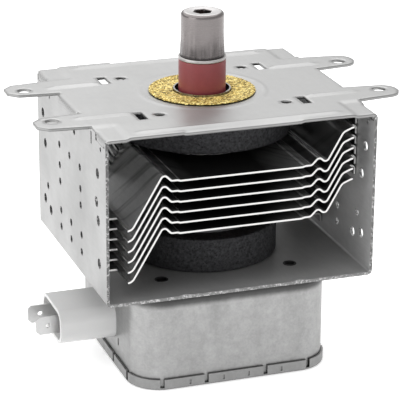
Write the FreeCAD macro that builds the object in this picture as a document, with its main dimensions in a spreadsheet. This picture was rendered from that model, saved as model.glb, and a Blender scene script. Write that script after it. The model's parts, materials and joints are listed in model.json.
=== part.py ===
import FreeCAD, Part
import Sketcher
import math
import operator
import os
from types import SimpleNamespace

# Magnetron of a microwave oven. Millimetres, +Z up along the antenna axis.
# The origin is on that axis, at the underside of the filter box lid.
# -Y is the open front of the cooling duct and -X is the side of the terminals.

# Driving sizes
SIZES = {
    # Yoke: a U of steel sheet that carries the magnetic field and the air duct
    "yoke_width": 93.4,
    "yoke_depth": 83.0,
    "yoke_sheet": 1.0,
    "yoke_bend_radius": 1.8,
    "stem_opening_radius": 11.2,
    "clinch_hole_radius": 2.3,
    "clinch_spacing_across": 46.0,
    "clinch_spacing_deep": 51.4,
    "small_vent_radius": 1.3,
    "large_vent_radius": 1.75,
    "corner_notch_length": 11.2,
    "corner_lug_length": 1.1,
    "corner_hole_radius": 0.8,
    "corner_notch_height": 3.4,
    "crimp_slot_width": 1.1,
    "crimp_slot_height": 4.2,
    "crimp_slot_place": 25.5,
    # Top plate: pressed sheet with four mounting ears
    "plate_sheet": 1.0,
    "plate_opening_radius": 12.4,
    "ear_reach": 63.6,
    "ear_inner_edge": 12.0,
    "ear_outer_edge": 26.3,
    "ear_taper": 1.4,
    "ear_clip": 3.2,
    "ear_end_radius": 5.2,
    "ear_hole_spacing_across": 115.0,
    "ear_hole_spacing_deep": 35.4,
    "ear_hole_radius": 2.4,
    "side_flange_height": 2.6,
    "side_flange_half_length": 10.2,
    "side_flange_radius": 0.95,
    "corner_tab_height": 2.6,
    "corner_step": 0.5,
    "corner_step_start": 39.0,
    "slot_width": 3.1,
    "slot_length": 8.2,
    "slot_spacing_across": 57.2,
    "slot_spacing_deep": 42.0,
    "plate_hole_radius": 1.85,
    "plate_hole_spacing_across": 44.4,
    "plate_hole_spacing_deep": 43.0,
    "bead_height": 0.5,
    "bead_width": 2.6,
    "ear_bead_start": 31.0,
    "ear_bead_end": 50.0,
    "edge_bead_half_length": 35.0,
    "edge_bead_place": 37.2,
    "edge_lip_half_length": 20.2,
    "ring_bead_radius": 21.2,
    # Magnets
    "magnet_bore_radius": 11.8,
    "upper_magnet_radius": 30.3,
    "upper_magnet_thick": 12.0,
    "lower_magnet_radius": 26.0,
    "lower_magnet_thick": 12.0,
    "magnet_edge_chamfer": 0.5,
    # Anode
    "anode_height": 31.5,
    "anode_radius": 19.4,
    "anode_wall": 2.2,
    "vane_count": 10.0,
    "vane_thick": 1.8,
    "vane_tip_radius": 4.6,
    "vane_height": 9.6,
    "strap_notch_depth": 1.5,
    "strap_inner_radius": 5.8,
    "strap_width": 0.6,
    "strap_gap": 0.6,
    "pole_flange_thick": 1.0,
    "pole_wall": 1.2,
    "pole_funnel_depth": 6.0,
    "pole_mouth_radius": 11.0,
    "pole_hole_radius": 4.8,
    "antenna_lead_passage_radius": 1.9,
    # Cathode
    "filament_radius": 1.9,
    "filament_wire_radius": 0.3,
    "filament_pitch": 1.4,
    "filament_length": 9.8,
    "hat_radius": 3.7,
    "hat_thick": 1.0,
    "cathode_lead_radius": 0.7,
    "side_lead_offset": 2.7,
    # Lower stem
    "sleeve_wall": 0.5,
    "sleeve_flange_radius": 11.6,
    "stem_sleeve_radius": 10.4,
    "stem_insulator_radius": 7.6,
    "stem_insulator_height": 14.0,
    "stem_step": 2.6,
    # Antenna
    "antenna_sleeve_radius": 11.1,
    "antenna_neck_radius": 9.8,
    "antenna_insulator_radius": 8.03,
    "antenna_insulator_bore": 5.2,
    "antenna_insulator_height": 12.6,
    "antenna_seat_depth": 1.4,
    "antenna_neck_rise": 1.0,
    "seal_ring_radius": 8.15,
    "seal_ring_thick": 1.2,
    "cap_radius": 7.33,
    "cap_wall": 0.5,
    "cap_height": 15.2,
    "cap_edge_radius": 0.8,
    "cap_flare": 0.18,
    "cap_hole_radius": 3.05,
    "exhaust_tube_radius": 3.4,
    "exhaust_tube_wall": 0.8,
    "exhaust_pinch_thick": 1.6,
    "antenna_lead_radius": 1.0,
    "antenna_lead_offset": 9.2,
    "gasket_outer_radius": 18.3,
    "gasket_inner_radius": 10.1,
    "gasket_thick": 1.3,
    # Cooling fins
    "fin_sheet": 0.6,
    "fin_pitch": 3.6,
    "fin_depth": 80.0,
    "fin_wall_clearance": 0.25,
    "lowest_fin_height": 21.6,
    "fin_collar_wall": 0.6,
    "fin_notch_length": 12.4,
    "fin_notch_width": 6.4,
    "fin_slit_width": 1.2,
    "fin_slit_start": 25.4,
    "fin_bead_place": 26.9,
    "fin_bead_height": 2.9,
    "fin_land_end": 21.2,
    "fin_land_step": 0.3,
    "fin_bead_foot": 2.6,
    "fin_down_foot": 37.7,
    "fin_down_drop": 15.3,
    "fin_up_foot": 35.3,
    "fin_up_rise": 10.6,
    "fin_up_edge_rise": 1.3,
    "fin_flange_height": 3.0,
    "fin_bend_radius": 1.3,
    "fin_wide_bend_radius": 2.6,
    # Filter box and its lid
    "box_width": 69.2,
    "box_depth": 72.0,
    "box_height": 33.7,
    "box_sheet": 0.8,
    "box_corner_radius": 11.0,
    "box_top_radius": 4.5,
    "box_slot_place": 13.6,
    "lid_sheet": 0.8,
    "lid_tab_height": 3.8,
    "lid_clearance": 0.1,
    "lid_slit": 1.4,
    "lid_slit_middle": 10.6,
    "lid_slit_corner": 26.2,
    "stake_width": 0.6,
    "stake_height": 1.6,
    "stake_depth": 0.3,
    "stake_inner": 4.5,
    "stake_outer": 16.4,
    # Terminal block and filter
    "block_width": 23.4,
    "block_height": 12.4,
    "block_centre_height": 15.2,
    "block_corner_radius": 4.6,
    "block_reach": 54.2,
    "block_wall": 1.3,
    "block_socket_depth": 7.0,
    "block_inner_reach": 25.0,
    "block_flange": 1.4,
    "blade_width": 6.3,
    "blade_thick": 0.8,
    "blade_reach": 61.3,
    "blade_spacing": 10.8,
    "blade_hole_radius": 0.85,
    "blade_hole_inset": 4.3,
    "blade_clip": 1.2,
    "blade_tail": 3.0,
    "choke_wire_radius": 0.7,
    "choke_coil_radius": 3.6,
    "choke_pitch": 2.2,
    "choke_length": 13.2,
    "choke_clearance": 0.1,
    "choke_core_length": 17.0,
    "choke_start": 19.0,
    "choke_tail": 6.0,
    "choke_tail_radius": 0.6,
}
# Heights of the vent holes above the yoke floor, and their places along the wall
SMALL_VENTS = [
    (-12.6, 8.0), (0.0, 8.0), (12.6, 8.0),
    (-12.6, 14.0), (0.0, 14.0), (12.6, 14.0),
    (-12.0, 24.4), (13.2, 24.4),
    (-12.0, 30.2), (13.4, 30.2),
    (-11.6, 37.6), (1.0, 37.6), (13.5, 37.6),
    (29.4, 17.2), (-5.3, 48.2),
]
LARGE_VENTS = [
    (33.3, 11.3), (26.1, 9.2), (-33.2, 11.5),
    (-32.6, 26.2), (-30.8, 32.2), (32.0, 32.2),
    (-32.3, 42.3), (34.6, 42.6),
]
FIN_COUNT = 6
OPERATORS = {"+": operator.add, "-": operator.sub, "*": operator.mul, "/": operator.truediv}
TINY = 1e-6


class Size:
    """A length, kept as its number and as the sheet expression that gives it."""

    def __init__(self, value, text):
        self.value = value
        self.text = text

    def joined(self, other, sign):
        if not isinstance(other, Size):
            other = Size(float(other), repr(float(other)))
        value = OPERATORS[sign](self.value, other.value)
        return Size(value, "(%s %s %s)" % (self.text, sign, other.text))

    def __add__(self, other):
        return self.joined(other, "+")

    def __sub__(self, other):
        return self.joined(other, "-")

    def __mul__(self, other):
        return self.joined(other, "*")

    def __truediv__(self, other):
        return self.joined(other, "/")

    def __neg__(self):
        return self * -1


ZERO = Size(0.0, "0")


def fill_sheet(doc):
    """Writes the driving sizes to the sheet and returns them by name."""
    sheet = doc.addObject("Spreadsheet::Sheet", "Sizes")
    for row, (name, value) in enumerate(SIZES.items(), start=1):
        sheet.set("A%d" % row, name)
        sheet.set("B%d" % row, str(value))
        sheet.setAlias("B%d" % row, name)
    doc.recompute()
    return SimpleNamespace(**{name: Size(value, "Sizes." + name) for name, value in SIZES.items()})


# Sketching
def new_body(label):
    body = FreeCAD.ActiveDocument.addObject("PartDesign::Body", label)
    body.Label = label
    return body


def bind(feature, name, size):
    """Gives a property its number and ties it to the sheet."""
    setattr(feature, name, size.value)
    feature.setExpression(name, size.text)


def sketch_on(body, role, lift=ZERO):
    """A sketch on one of the body's own planes, moved along its normal by lift."""
    sketch = body.newObject("Sketcher::SketchObject", body.Name + "_sketch")
    plane = next(item for item in body.Origin.OriginFeatures if item.Role == role)
    sketch.AttachmentSupport = [(plane, "")]
    sketch.MapMode = "FlatFace"
    if lift is not ZERO:
        sketch.setExpression("AttachmentOffset.Base.z", lift.text)
    return sketch


def constrain(sketch, size, *terms):
    index = sketch.addConstraint(Sketcher.Constraint(*terms, size.value))
    sketch.setExpression("Constraints[%d]" % index, size.text)


def pin(sketch, item, end, across, along):
    """Ties one point of a sketch item to its two distances from the sketch's origin."""
    for kind, axis, size in (("DistanceX", -2, across), ("DistanceY", -1, along)):
        if size is ZERO:
            sketch.addConstraint(Sketcher.Constraint("PointOnObject", item, end, axis))
        else:
            constrain(sketch, size, kind, item, end)


def line(sketch, start, end):
    return sketch.addGeometry(Part.LineSegment(FreeCAD.Vector(*start), FreeCAD.Vector(*end)), False)


def polygon(sketch, corners):
    """A closed outline of straight lines through the given corners."""
    places = [(across.value, along.value, 0) for across, along in corners]
    items = [line(sketch, start, end) for start, end in zip(places, places[1:] + places[:1])]
    for item, following in zip(items, items[1:] + items[:1]):
        sketch.addConstraint(Sketcher.Constraint("Coincident", item, 2, following, 1))
    for item, (across, along) in zip(items, corners):
        pin(sketch, item, 1, across, along)


def rectangle(sketch, left, right, low, high):
    polygon(sketch, [(left, low), (right, low), (right, high), (left, high)])


def circle(sketch, across, along, radius):
    centre = FreeCAD.Vector(across.value, along.value, 0)
    item = sketch.addGeometry(Part.Circle(centre, FreeCAD.Vector(0, 0, 1), radius.value), False)
    pin(sketch, item, 3, across, along)
    constrain(sketch, radius, "Radius", item)


def hexagon(sketch, across, along, radius):
    """A six-sided outline whose corners stand at radius, two of them level with the middle."""
    corners = []
    for corner in range(6):
        turn = math.radians(60 * corner)
        x, y = across + radius * math.cos(turn), along
        if corner % 3:
            y = along + radius * math.sin(turn)
        corners.append((x, y))
    polygon(sketch, corners)


def bent_path(sketch, corners):
    """An open path of lines whose inner corners are rounded by tangent arcs.

    Each corner is (across, along, radius); the radius of the two ends isn't used.
    """
    places = [FreeCAD.Vector(across.value, along.value, 0) for across, along, radius in corners]
    tangents = [(places[0], places[0])]
    for before, here, after, corner in zip(places, places[1:], places[2:], corners[1:]):
        inward, outward = (before - here).normalize(), (after - here).normalize()
        reach = corner[2].value / math.tan(inward.getAngle(outward) / 2)
        tangents.append((here + inward * reach, here + outward * reach))
    tangents.append((places[-1], places[-1]))
    lines = [line(sketch, start[1], end[0]) for start, end in zip(tangents, tangents[1:])]
    pin(sketch, lines[0], 1, corners[0][0], corners[0][1])
    pin(sketch, lines[-1], 2, corners[-1][0], corners[-1][1])
    for index in range(1, len(corners) - 1):
        across, along, radius = corners[index]
        here, (start, end) = places[index], tangents[index]
        middle_way = ((start + end) * 0.5 - here).normalize()
        half_turn = (start - here).getAngle(end - here) / 2
        middle = here + middle_way * (radius.value / math.sin(half_turn) - radius.value)
        arc = sketch.addGeometry(Part.Arc(start, middle, end), False)
        ends = (1, 2) if sketch.getPoint(arc, 1).distanceToPoint(start) < TINY else (2, 1)
        sketch.addConstraint(Sketcher.Constraint("Tangent", lines[index - 1], 2, arc, ends[0]))
        sketch.addConstraint(Sketcher.Constraint("Tangent", lines[index], 1, arc, ends[1]))
        constrain(sketch, radius, "Radius", arc)
        corner = sketch.addGeometry(Part.Point(here), True)
        pin(sketch, corner, 1, across, along)
        for item in lines[index - 1:index + 1]:
            sketch.addConstraint(Sketcher.Constraint("PointOnObject", corner, 1, item))


# Features
def pad(body, sketch, length, middle=False, reverse=False):
    feature = body.newObject("PartDesign::Pad", body.Name + "_pad")
    feature.Profile = sketch
    feature.Midplane = middle
    feature.Reversed = reverse
    bind(feature, "Length", length)
    return feature


def pocket(body, sketch, length=None, reverse=False):
    """Cuts a sketch away, to a length on one side or right through on both."""
    feature = body.newObject("PartDesign::Pocket", body.Name + "_pocket")
    feature.Profile = sketch
    if length is None:
        feature.Type = "ThroughAll"
        feature.Midplane = True
    else:
        feature.Reversed = reverse
        bind(feature, "Length", length)
    return feature


def turned(body, outlines, angle=360.0):
    """Turns closed half outlines of (radius, height) corners round the Z axis."""
    sketch = sketch_on(body, "XZ_Plane")
    for corners in outlines:
        polygon(sketch, corners)
    feature = body.newObject("PartDesign::Revolution", body.Name + "_turned")
    feature.Profile = sketch
    feature.ReferenceAxis = (sketch, ["V_Axis"])
    feature.Angle = angle
    return feature


def swept(body, path, section):
    feature = body.newObject("PartDesign::AdditivePipe", body.Name + "_swept")
    feature.Profile = section
    feature.Spine = (path, [""])
    return feature


def round_the_axis(body, features, count):
    """Repeats features round the Z axis."""
    pattern = body.newObject("PartDesign::PolarPattern", body.Name + "_pattern")
    pattern.Originals = features
    axis = next(item for item in body.Origin.OriginFeatures if item.Role == "Z_Axis")
    pattern.Axis = (axis, [""])
    pattern.Angle = 360
    pattern.Occurrences = count
    body.Tip = pattern
    return pattern


def dress(body, kind, edge_test, size, name="Radius"):
    """Rounds or chamfers the edges of the body's tip that pass a test."""
    FreeCAD.ActiveDocument.recompute()
    base = body.Tip
    edges = ["Edge%d" % number for number, edge in enumerate(base.Shape.Edges, start=1) if edge_test(edge)]
    feature = body.newObject(kind, body.Name + "_edges")
    feature.Base = (base, edges)
    bind(feature, name, size)
    return feature


def fillet(body, edge_test, radius):
    return dress(body, "PartDesign::Fillet", edge_test, radius)


def chamfer(body, edge_test, size):
    return dress(body, "PartDesign::Chamfer", edge_test, size, "Size")


def is_upright(edge):
    """A straight edge that runs along Z."""
    if len(edge.Vertexes) != 2:
        return False
    box = edge.BoundBox
    return box.XLength < TINY and box.YLength < TINY


def is_corner_at(across):
    """A test for the upright edges at one distance across from the middle."""
    return lambda edge: is_upright(edge) and abs(abs(edge.BoundBox.XMin) - across) < 1e-4


def lies_at_height(height):
    """A test for edges that lie flat at one height."""
    return lambda edge: abs(edge.BoundBox.ZMin - height) < 1e-4 and abs(edge.BoundBox.ZMax - height) < 1e-4


def is_circle_at(height, radius):
    def test(edge):
        curve = edge.Curve
        return (isinstance(curve, Part.Circle) and abs(curve.Radius - radius) < 1e-4
                and abs(curve.Center.z - height) < 1e-4)
    return test


def corners_of(across, along):
    """The four places at plus and minus two half spacings."""
    return [(across * x, along * y) for x in (-1, 1) for y in (-1, 1)]


def levels(s):
    """The heights at which the pieces of the stack meet."""
    box_top = s.lid_sheet + s.box_height
    floor_top = box_top + s.yoke_sheet
    lower_magnet_top = floor_top + s.lower_magnet_thick
    anode_top = lower_magnet_top + s.anode_height
    plate_under = anode_top + s.upper_magnet_thick
    plate_top = plate_under + s.plate_sheet
    insulator_base = plate_top - s.antenna_seat_depth
    insulator_top = insulator_base + s.antenna_insulator_height
    cap_base = insulator_top + s.seal_ring_thick
    return SimpleNamespace(
        box_top=box_top, floor_top=floor_top, lower_magnet_top=lower_magnet_top, anode_top=anode_top,
        plate_under=plate_under, plate_top=plate_top, insulator_base=insulator_base,
        insulator_top=insulator_top, cap_base=cap_base, cap_top=cap_base + s.cap_height,
        pinch_base=cap_base + s.cap_height * 0.5, cavity=lower_magnet_top + s.anode_height / 2)


# Filter box, lid and yoke
def build_filter_box(s, z):
    body = new_body("filter_box")
    half_width, half_depth = s.box_width / 2, s.box_depth / 2
    outline = sketch_on(body, "XY_Plane", s.lid_sheet)
    rectangle(outline, -half_width, half_width, -half_depth, half_depth)
    pad(body, outline, s.box_height)
    fillet(body, is_upright, s.box_corner_radius)
    fillet(body, lies_at_height(z.box_top.value), s.box_top_radius)
    FreeCAD.ActiveDocument.recompute()
    base = body.Tip
    open_face = next("Face%d" % number for number, face in enumerate(base.Shape.Faces, start=1)
                     if abs(face.BoundBox.ZMax - s.lid_sheet.value) < 1e-4)
    shell = body.newObject("PartDesign::Thickness", "filter_box_shell")
    shell.Base = (base, [open_face])
    shell.Reversed = True
    bind(shell, "Value", s.box_sheet)
    collar_wall = s.clinch_hole_radius - s.box_sheet * 0.7
    collars = sketch_on(body, "XY_Plane", z.box_top - s.box_sheet)
    openings = sketch_on(body, "XY_Plane", z.box_top)
    for x, y in corners_of(s.clinch_spacing_across / 2, s.clinch_spacing_deep / 2):
        circle(collars, x, y, s.clinch_hole_radius)
        circle(openings, x, y, collar_wall)
    pad(body, collars, s.box_sheet + s.yoke_sheet * 1.2)
    circle(openings, ZERO, ZERO, s.stem_opening_radius)
    pocket(body, openings)
    # The terminal block passes through the left wall, between two slots
    side = sketch_on(body, "YZ_Plane", -half_width + s.box_corner_radius)
    low = s.block_centre_height - s.block_height / 2
    rectangle(side, -s.block_width / 2, s.block_width / 2, low, low + s.block_height)
    for sign in (-1, 1):
        middle = s.box_slot_place * sign
        rectangle(side, middle - 0.6, middle + 0.6, low - 1.0, low + 1.6)
    pocket(body, side, s.box_corner_radius)
    fillet(body, is_block_corner(s.block_width.value / 2), s.block_corner_radius)
    return body


def build_filter_lid(s, z):
    body = new_body("filter_lid")
    inner_width = s.box_width / 2 + s.lid_clearance
    inner_depth = s.box_depth / 2 + s.lid_clearance
    outer_width, outer_depth = inner_width + s.lid_sheet, inner_depth + s.lid_sheet
    outline = sketch_on(body, "XY_Plane")
    rectangle(outline, -outer_width, outer_width, -outer_depth, outer_depth)
    pad(body, outline, s.lid_tab_height)
    tray = sketch_on(body, "XY_Plane", s.lid_sheet)
    rectangle(tray, -inner_width, inner_width, -inner_depth, inner_depth)
    pocket(body, tray, s.lid_tab_height, reverse=True)
    inner_radius = s.box_corner_radius + s.lid_clearance
    fillet(body, is_corner_at(inner_width.value), inner_radius)
    fillet(body, is_corner_at(outer_width.value), inner_radius + s.lid_sheet)
    fillet(body, lies_at_height(0), s.lid_sheet * 0.9)
    # Slits that part the folded rim into tabs
    slits = sketch_on(body, "XY_Plane", s.lid_sheet)
    half = s.lid_slit / 2
    for sign in (-1, 1):
        for place in (s.lid_slit_middle, s.lid_slit_corner):
            middle = place * sign
            rectangle(slits, middle - half, middle + half, outer_depth * -1.1, outer_depth * -0.9)
            rectangle(slits, middle - half, middle + half, outer_depth * 0.9, outer_depth * 1.1)
            rectangle(slits, outer_width * -1.1, outer_width * -0.9, middle - half, middle + half)
            rectangle(slits, outer_width * 0.9, outer_width * 1.1, middle - half, middle + half)
    pocket(body, slits, s.lid_tab_height, reverse=True)
    # Stake marks pressed into the long tabs
    for facing, face in ((1, -outer_depth), (-1, outer_depth)):
        marks = sketch_on(body, "XZ_Plane", -face)
        half, low = s.stake_width / 2, s.lid_tab_height * 0.3
        for place in (s.stake_inner, s.stake_outer):
            for sign in (-1, 1):
                middle = place * sign
                rectangle(marks, middle - half, middle + half, low, low + s.stake_height)
        pocket(body, marks, s.stake_depth, reverse=facing < 0)
    return body


def build_yoke(s, z):
    body = new_body("yoke")
    half_width = s.yoke_width / 2
    inner = half_width - s.yoke_sheet
    section = sketch_on(body, "XZ_Plane")
    polygon(section, [
        (-half_width, z.box_top), (half_width, z.box_top), (half_width, z.plate_under),
        (inner, z.plate_under), (inner, z.floor_top), (-inner, z.floor_top),
        (-inner, z.plate_under), (-half_width, z.plate_under)])
    pad(body, section, s.yoke_depth, middle=True)
    fillet(body, is_fold_at(z.box_top.value, half_width.value), s.yoke_bend_radius)
    fillet(body, is_fold_at(z.floor_top.value, inner.value), s.yoke_bend_radius - s.yoke_sheet)
    floor = sketch_on(body, "XY_Plane", z.floor_top)
    circle(floor, ZERO, ZERO, s.stem_opening_radius)
    for x, y in corners_of(s.clinch_spacing_across / 2, s.clinch_spacing_deep / 2):
        circle(floor, x, y, s.clinch_hole_radius)
    pocket(body, floor, s.yoke_sheet * 2)
    # Vents of the left wall, and the same turned half round for the right wall
    wall = sketch_on(body, "YZ_Plane")
    for radius, places in ((s.small_vent_radius, SMALL_VENTS), (s.large_vent_radius, LARGE_VENTS)):
        for along, height in places:
            middle = Size(along, repr(along)) if along else ZERO
            circle(wall, middle, z.floor_top + height, radius)
    vents = pocket(body, wall, s.yoke_width)
    round_the_axis(body, [vents], 2)
    # Corner notches for the plate's folded tabs, and the crimp slots and holes beside them
    notches = sketch_on(body, "YZ_Plane")
    low = z.plate_under - s.corner_notch_height + s.plate_sheet
    lug_top = z.plate_under - s.corner_step - s.lid_clearance
    slot_top = z.plate_under - s.plate_sheet
    for sign in (-1, 1):
        edge = s.yoke_depth / 2 * sign
        start, lug = edge - s.corner_notch_length * sign, edge - s.corner_lug_length * sign
        polygon(notches, [
            (start, low), (lug, low), (lug, lug_top), (edge + 1.0 * sign, lug_top),
            (edge + 1.0 * sign, z.plate_top), (start, z.plate_top)])
        middle = s.crimp_slot_place * sign
        half = s.crimp_slot_width / 2
        rectangle(notches, middle - half, middle + half, slot_top - s.crimp_slot_height, slot_top)
        hole = (s.yoke_depth / 2 - s.corner_notch_length / 2) * sign
        circle(notches, hole, low - s.corner_hole_radius * 2, s.corner_hole_radius)
    pocket(body, notches)
    return body


def is_fold_at(height, across):
    """A test for the straight edges along Y at one height and one distance from the middle."""
    def test(edge):
        box = edge.BoundBox
        return (box.XLength < TINY and box.ZLength < TINY and abs(box.ZMin - height) < 1e-4
                and abs(abs(box.XMin) - across) < 1e-4)
    return test


# Top plate
def build_top_plate(s, z):
    body = new_body("top_plate")
    half_width, half_depth = s.yoke_width / 2, s.yoke_depth / 2
    tip_inner, tip_outer = s.ear_inner_edge + s.ear_taper, s.ear_outer_edge - s.ear_taper
    outline = sketch_on(body, "XY_Plane", z.plate_under)
    quarter = [
        (half_width, s.ear_inner_edge), (s.ear_reach, tip_inner),
        (s.ear_reach, tip_outer), (half_width, s.ear_outer_edge), (half_width, half_depth)]
    right = [(x, -y) for x, y in reversed(quarter)] + quarter
    polygon(outline, right + [(-x, -y) for x, y in right])
    pad(body, outline, s.plate_sheet)
    ear_ends = lambda side: lambda edge: is_upright(edge) and abs(
        edge.BoundBox.XMin - side * s.ear_reach.value) < 1e-4
    fillet(body, ear_ends(1), s.ear_end_radius)
    chamfer(body, ear_ends(-1), s.ear_clip)
    add_plate_folds(body, s, z)
    add_plate_beads(body, s, z)
    cut_plate_holes(body, s, z)
    return body


def add_plate_folds(body, s, z):
    """Side flanges between the ears, and the corner tabs that sit in the yoke's notches."""
    half_width, half_depth = s.yoke_width / 2, s.yoke_depth / 2
    flanges = sketch_on(body, "XZ_Plane")
    for sign in (-1, 1):
        inner, outer = half_width * sign, (half_width + s.plate_sheet) * sign
        corners = [
            (inner - 1.0 * sign, z.plate_top), (outer, z.plate_top),
            (outer, z.plate_top - s.side_flange_height), (inner, z.plate_top - s.side_flange_height),
            (inner, z.plate_under), (inner - 1.0 * sign, z.plate_under)]
        polygon(flanges, corners)
    pad(body, flanges, s.side_flange_half_length * 2, middle=True)
    outer_edge = half_width.value + s.plate_sheet.value
    fillet(body, is_fold_at(z.plate_top.value, outer_edge), s.side_flange_radius)
    # Corner areas pressed a little below the deck
    length = s.corner_notch_length
    for lift, depth, cut in ((z.plate_under, s.corner_step, False), (z.plate_top, s.corner_step, True)):
        areas = sketch_on(body, "XY_Plane", lift)
        for x_sign in (-1, 1):
            for y_sign in (-1, 1):
                inner_x, outer_x = s.corner_step_start * x_sign, half_width * x_sign
                outer_y = half_depth * y_sign
                rectangle(areas, inner_x, outer_x, outer_y - length * y_sign, outer_y)
        if cut:
            pocket(body, areas, depth)
        else:
            pad(body, areas, depth, reverse=True)
    tabs = sketch_on(body, "XY_Plane", z.plate_under - s.corner_step)
    clearance = s.lid_clearance
    for x_sign in (-1, 1):
        for y_sign in (-1, 1):
            outer_x = half_width * x_sign
            outer_y = (half_depth - s.corner_lug_length - clearance) * y_sign
            inner_y = (half_depth - length + clearance + 1.0) * y_sign
            rectangle(tabs, outer_x - s.plate_sheet * x_sign, outer_x, inner_y, outer_y)
    pad(body, tabs, s.corner_notch_height - s.plate_sheet - s.corner_step - clearance, reverse=True)


def add_plate_beads(body, s, z):
    """Raised beads along the ears, along the front and back edges and round the gasket."""
    half_bead = s.bead_width / 2
    beads = sketch_on(body, "XY_Plane", z.plate_top)
    line_of_holes = s.ear_hole_spacing_deep / 2
    for y_sign in (-1, 1):
        middle = line_of_holes * y_sign
        rectangle(beads, s.ear_bead_start, s.ear_bead_end, middle - half_bead, middle + half_bead)
        rectangle(beads, -s.ear_bead_end, -s.ear_bead_start, middle - half_bead, middle + half_bead)
        middle = s.edge_bead_place * y_sign
        rectangle(beads, -s.edge_bead_half_length, s.edge_bead_half_length,
                  middle - half_bead / 2, middle + half_bead / 2)
    pad(body, beads, s.bead_height)
    fillet(body, lies_at_height(z.plate_top.value + s.bead_height.value), s.bead_height * 0.9)
    ring = sketch_on(body, "XY_Plane", z.plate_top)
    circle(ring, ZERO, ZERO, s.ring_bead_radius + 0.8)
    circle(ring, ZERO, ZERO, s.ring_bead_radius - 0.8)
    pad(body, ring, s.bead_height / 2)
    # The middle of the front and back edges is turned down a little
    lips = sketch_on(body, "XY_Plane", z.plate_under)
    for y_sign in (-1, 1):
        edge = s.yoke_depth / 2 * y_sign
        rectangle(lips, -s.edge_lip_half_length, s.edge_lip_half_length, edge - 1.0 * y_sign, edge)
    pad(body, lips, s.corner_step, reverse=True)


def cut_plate_holes(body, s, z):
    holes = sketch_on(body, "XY_Plane", z.plate_top)
    circle(holes, ZERO, ZERO, s.plate_opening_radius)
    for x, y in corners_of(s.ear_hole_spacing_across / 2, s.ear_hole_spacing_deep / 2):
        circle(holes, x, y, s.ear_hole_radius)
    for x, y in corners_of(s.plate_hole_spacing_across / 2, s.plate_hole_spacing_deep / 2):
        circle(holes, x, y, s.plate_hole_radius)
    for x, y in corners_of(s.slot_spacing_across / 2, s.slot_spacing_deep / 2):
        rectangle(holes, x - s.slot_width / 2, x + s.slot_width / 2, y - s.slot_length / 2, y + s.slot_length / 2)
    pocket(body, holes)


# Magnets and gasket
def build_magnet(label, s, low, high, radius):
    body = new_body(label)
    turned(body, [[(s.magnet_bore_radius, low), (radius, low), (radius, high), (s.magnet_bore_radius, high)]])
    chamfer(body, lambda edge: isinstance(edge.Curve, Part.Circle), s.magnet_edge_chamfer)
    return body


def build_gasket(s, z):
    body = new_body("rf_gasket")
    top = z.plate_top + s.gasket_thick
    shoulder = s.gasket_thick * 0.4
    turned(body, [[
        (s.gasket_inner_radius, z.plate_top), (s.gasket_outer_radius, z.plate_top),
        (s.gasket_outer_radius, top - shoulder), (s.gasket_outer_radius - shoulder, top),
        (s.gasket_inner_radius + shoulder, top), (s.gasket_inner_radius, top - shoulder)]])
    return body


# Cooling fins
def fin_path(sketch, s, land):
    """The bent front edge of a fin: a wing down on the left, a wing up on the right."""
    bend, wide = s.fin_bend_radius, s.fin_wide_bend_radius
    wall = s.yoke_width / 2 - s.yoke_sheet - s.fin_wall_clearance - s.fin_sheet / 2
    low, high = land - s.fin_down_drop, land + s.fin_up_rise + s.fin_up_edge_rise
    crest, step = land + s.fin_bead_height, land + s.fin_land_step
    foot = s.fin_bead_place - s.fin_bead_foot
    bent_path(sketch, [
        (-wall, low - s.fin_flange_height, ZERO), (-wall, low, bend), (-s.fin_down_foot, low, wide),
        (-s.fin_bead_place, crest, bend), (-foot, step, bend),
        (-(s.fin_land_end + s.fin_land_step * 3), step, bend), (-s.fin_land_end, land, bend),
        (s.fin_land_end, land, bend), (s.fin_land_end + s.fin_land_step * 3, step, bend),
        (foot, step, bend), (s.fin_bead_place, crest, bend),
        (s.fin_bead_place + s.fin_bead_foot, step + s.fin_land_step, bend),
        (s.fin_up_foot, land + s.fin_up_rise, wide), (s.fin_up_foot + s.fin_notch_width / 2, high, bend * 2),
        (wall, high, bend), (wall, high - s.fin_flange_height, ZERO)])


def build_fin(number, s, z):
    """One bent fin; the fins are counted from the top."""
    body = new_body("cooling_fin_%d" % number)
    land = z.floor_top + s.lowest_fin_height + s.fin_pitch * float(FIN_COUNT - number)
    half_depth, inner = s.fin_depth / 2, s.yoke_width / 2
    path = sketch_on(body, "XZ_Plane")
    fin_path(path, s, land)
    wall = inner - s.yoke_sheet - s.fin_wall_clearance
    section = sketch_on(body, "XY_Plane", land - s.fin_down_drop - s.fin_flange_height)
    rectangle(section, -wall, -(wall - s.fin_sheet), -half_depth, ZERO)
    front = swept(body, path, section)
    round_the_axis(body, [front], 2)
    cuts = sketch_on(body, "XY_Plane", land)
    half_slit = s.fin_slit_width / 2
    for sign in (-1, 1):
        near, far = s.fin_slit_start * sign, (inner + 1.0) * sign
        rectangle(cuts, near, far, -half_slit, half_slit)
        near = (wall - s.fin_notch_width) * sign
        for y_sign in (-1, 1):
            edge = (half_depth + 1.0) * y_sign
            rectangle(cuts, near, far, (half_depth - s.fin_notch_length) * y_sign, edge)
    pocket(body, cuts)
    collar = sketch_on(body, "XY_Plane", land)
    circle(collar, ZERO, ZERO, s.anode_radius + s.fin_collar_wall)
    pad(body, collar, s.fin_pitch - s.fin_sheet / 2)
    bore = sketch_on(body, "XY_Plane", land)
    circle(bore, ZERO, ZERO, s.anode_radius)
    pocket(body, bore)
    return body


# Anode
def build_anode_shell(s, z):
    body = new_body("anode_shell")
    inner = s.anode_radius - s.anode_wall
    low, high = z.lower_magnet_top + s.pole_flange_thick, z.anode_top - s.pole_flange_thick
    turned(body, [[(inner, low), (s.anode_radius, low), (s.anode_radius, high), (inner, high)]])
    return body


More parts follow.
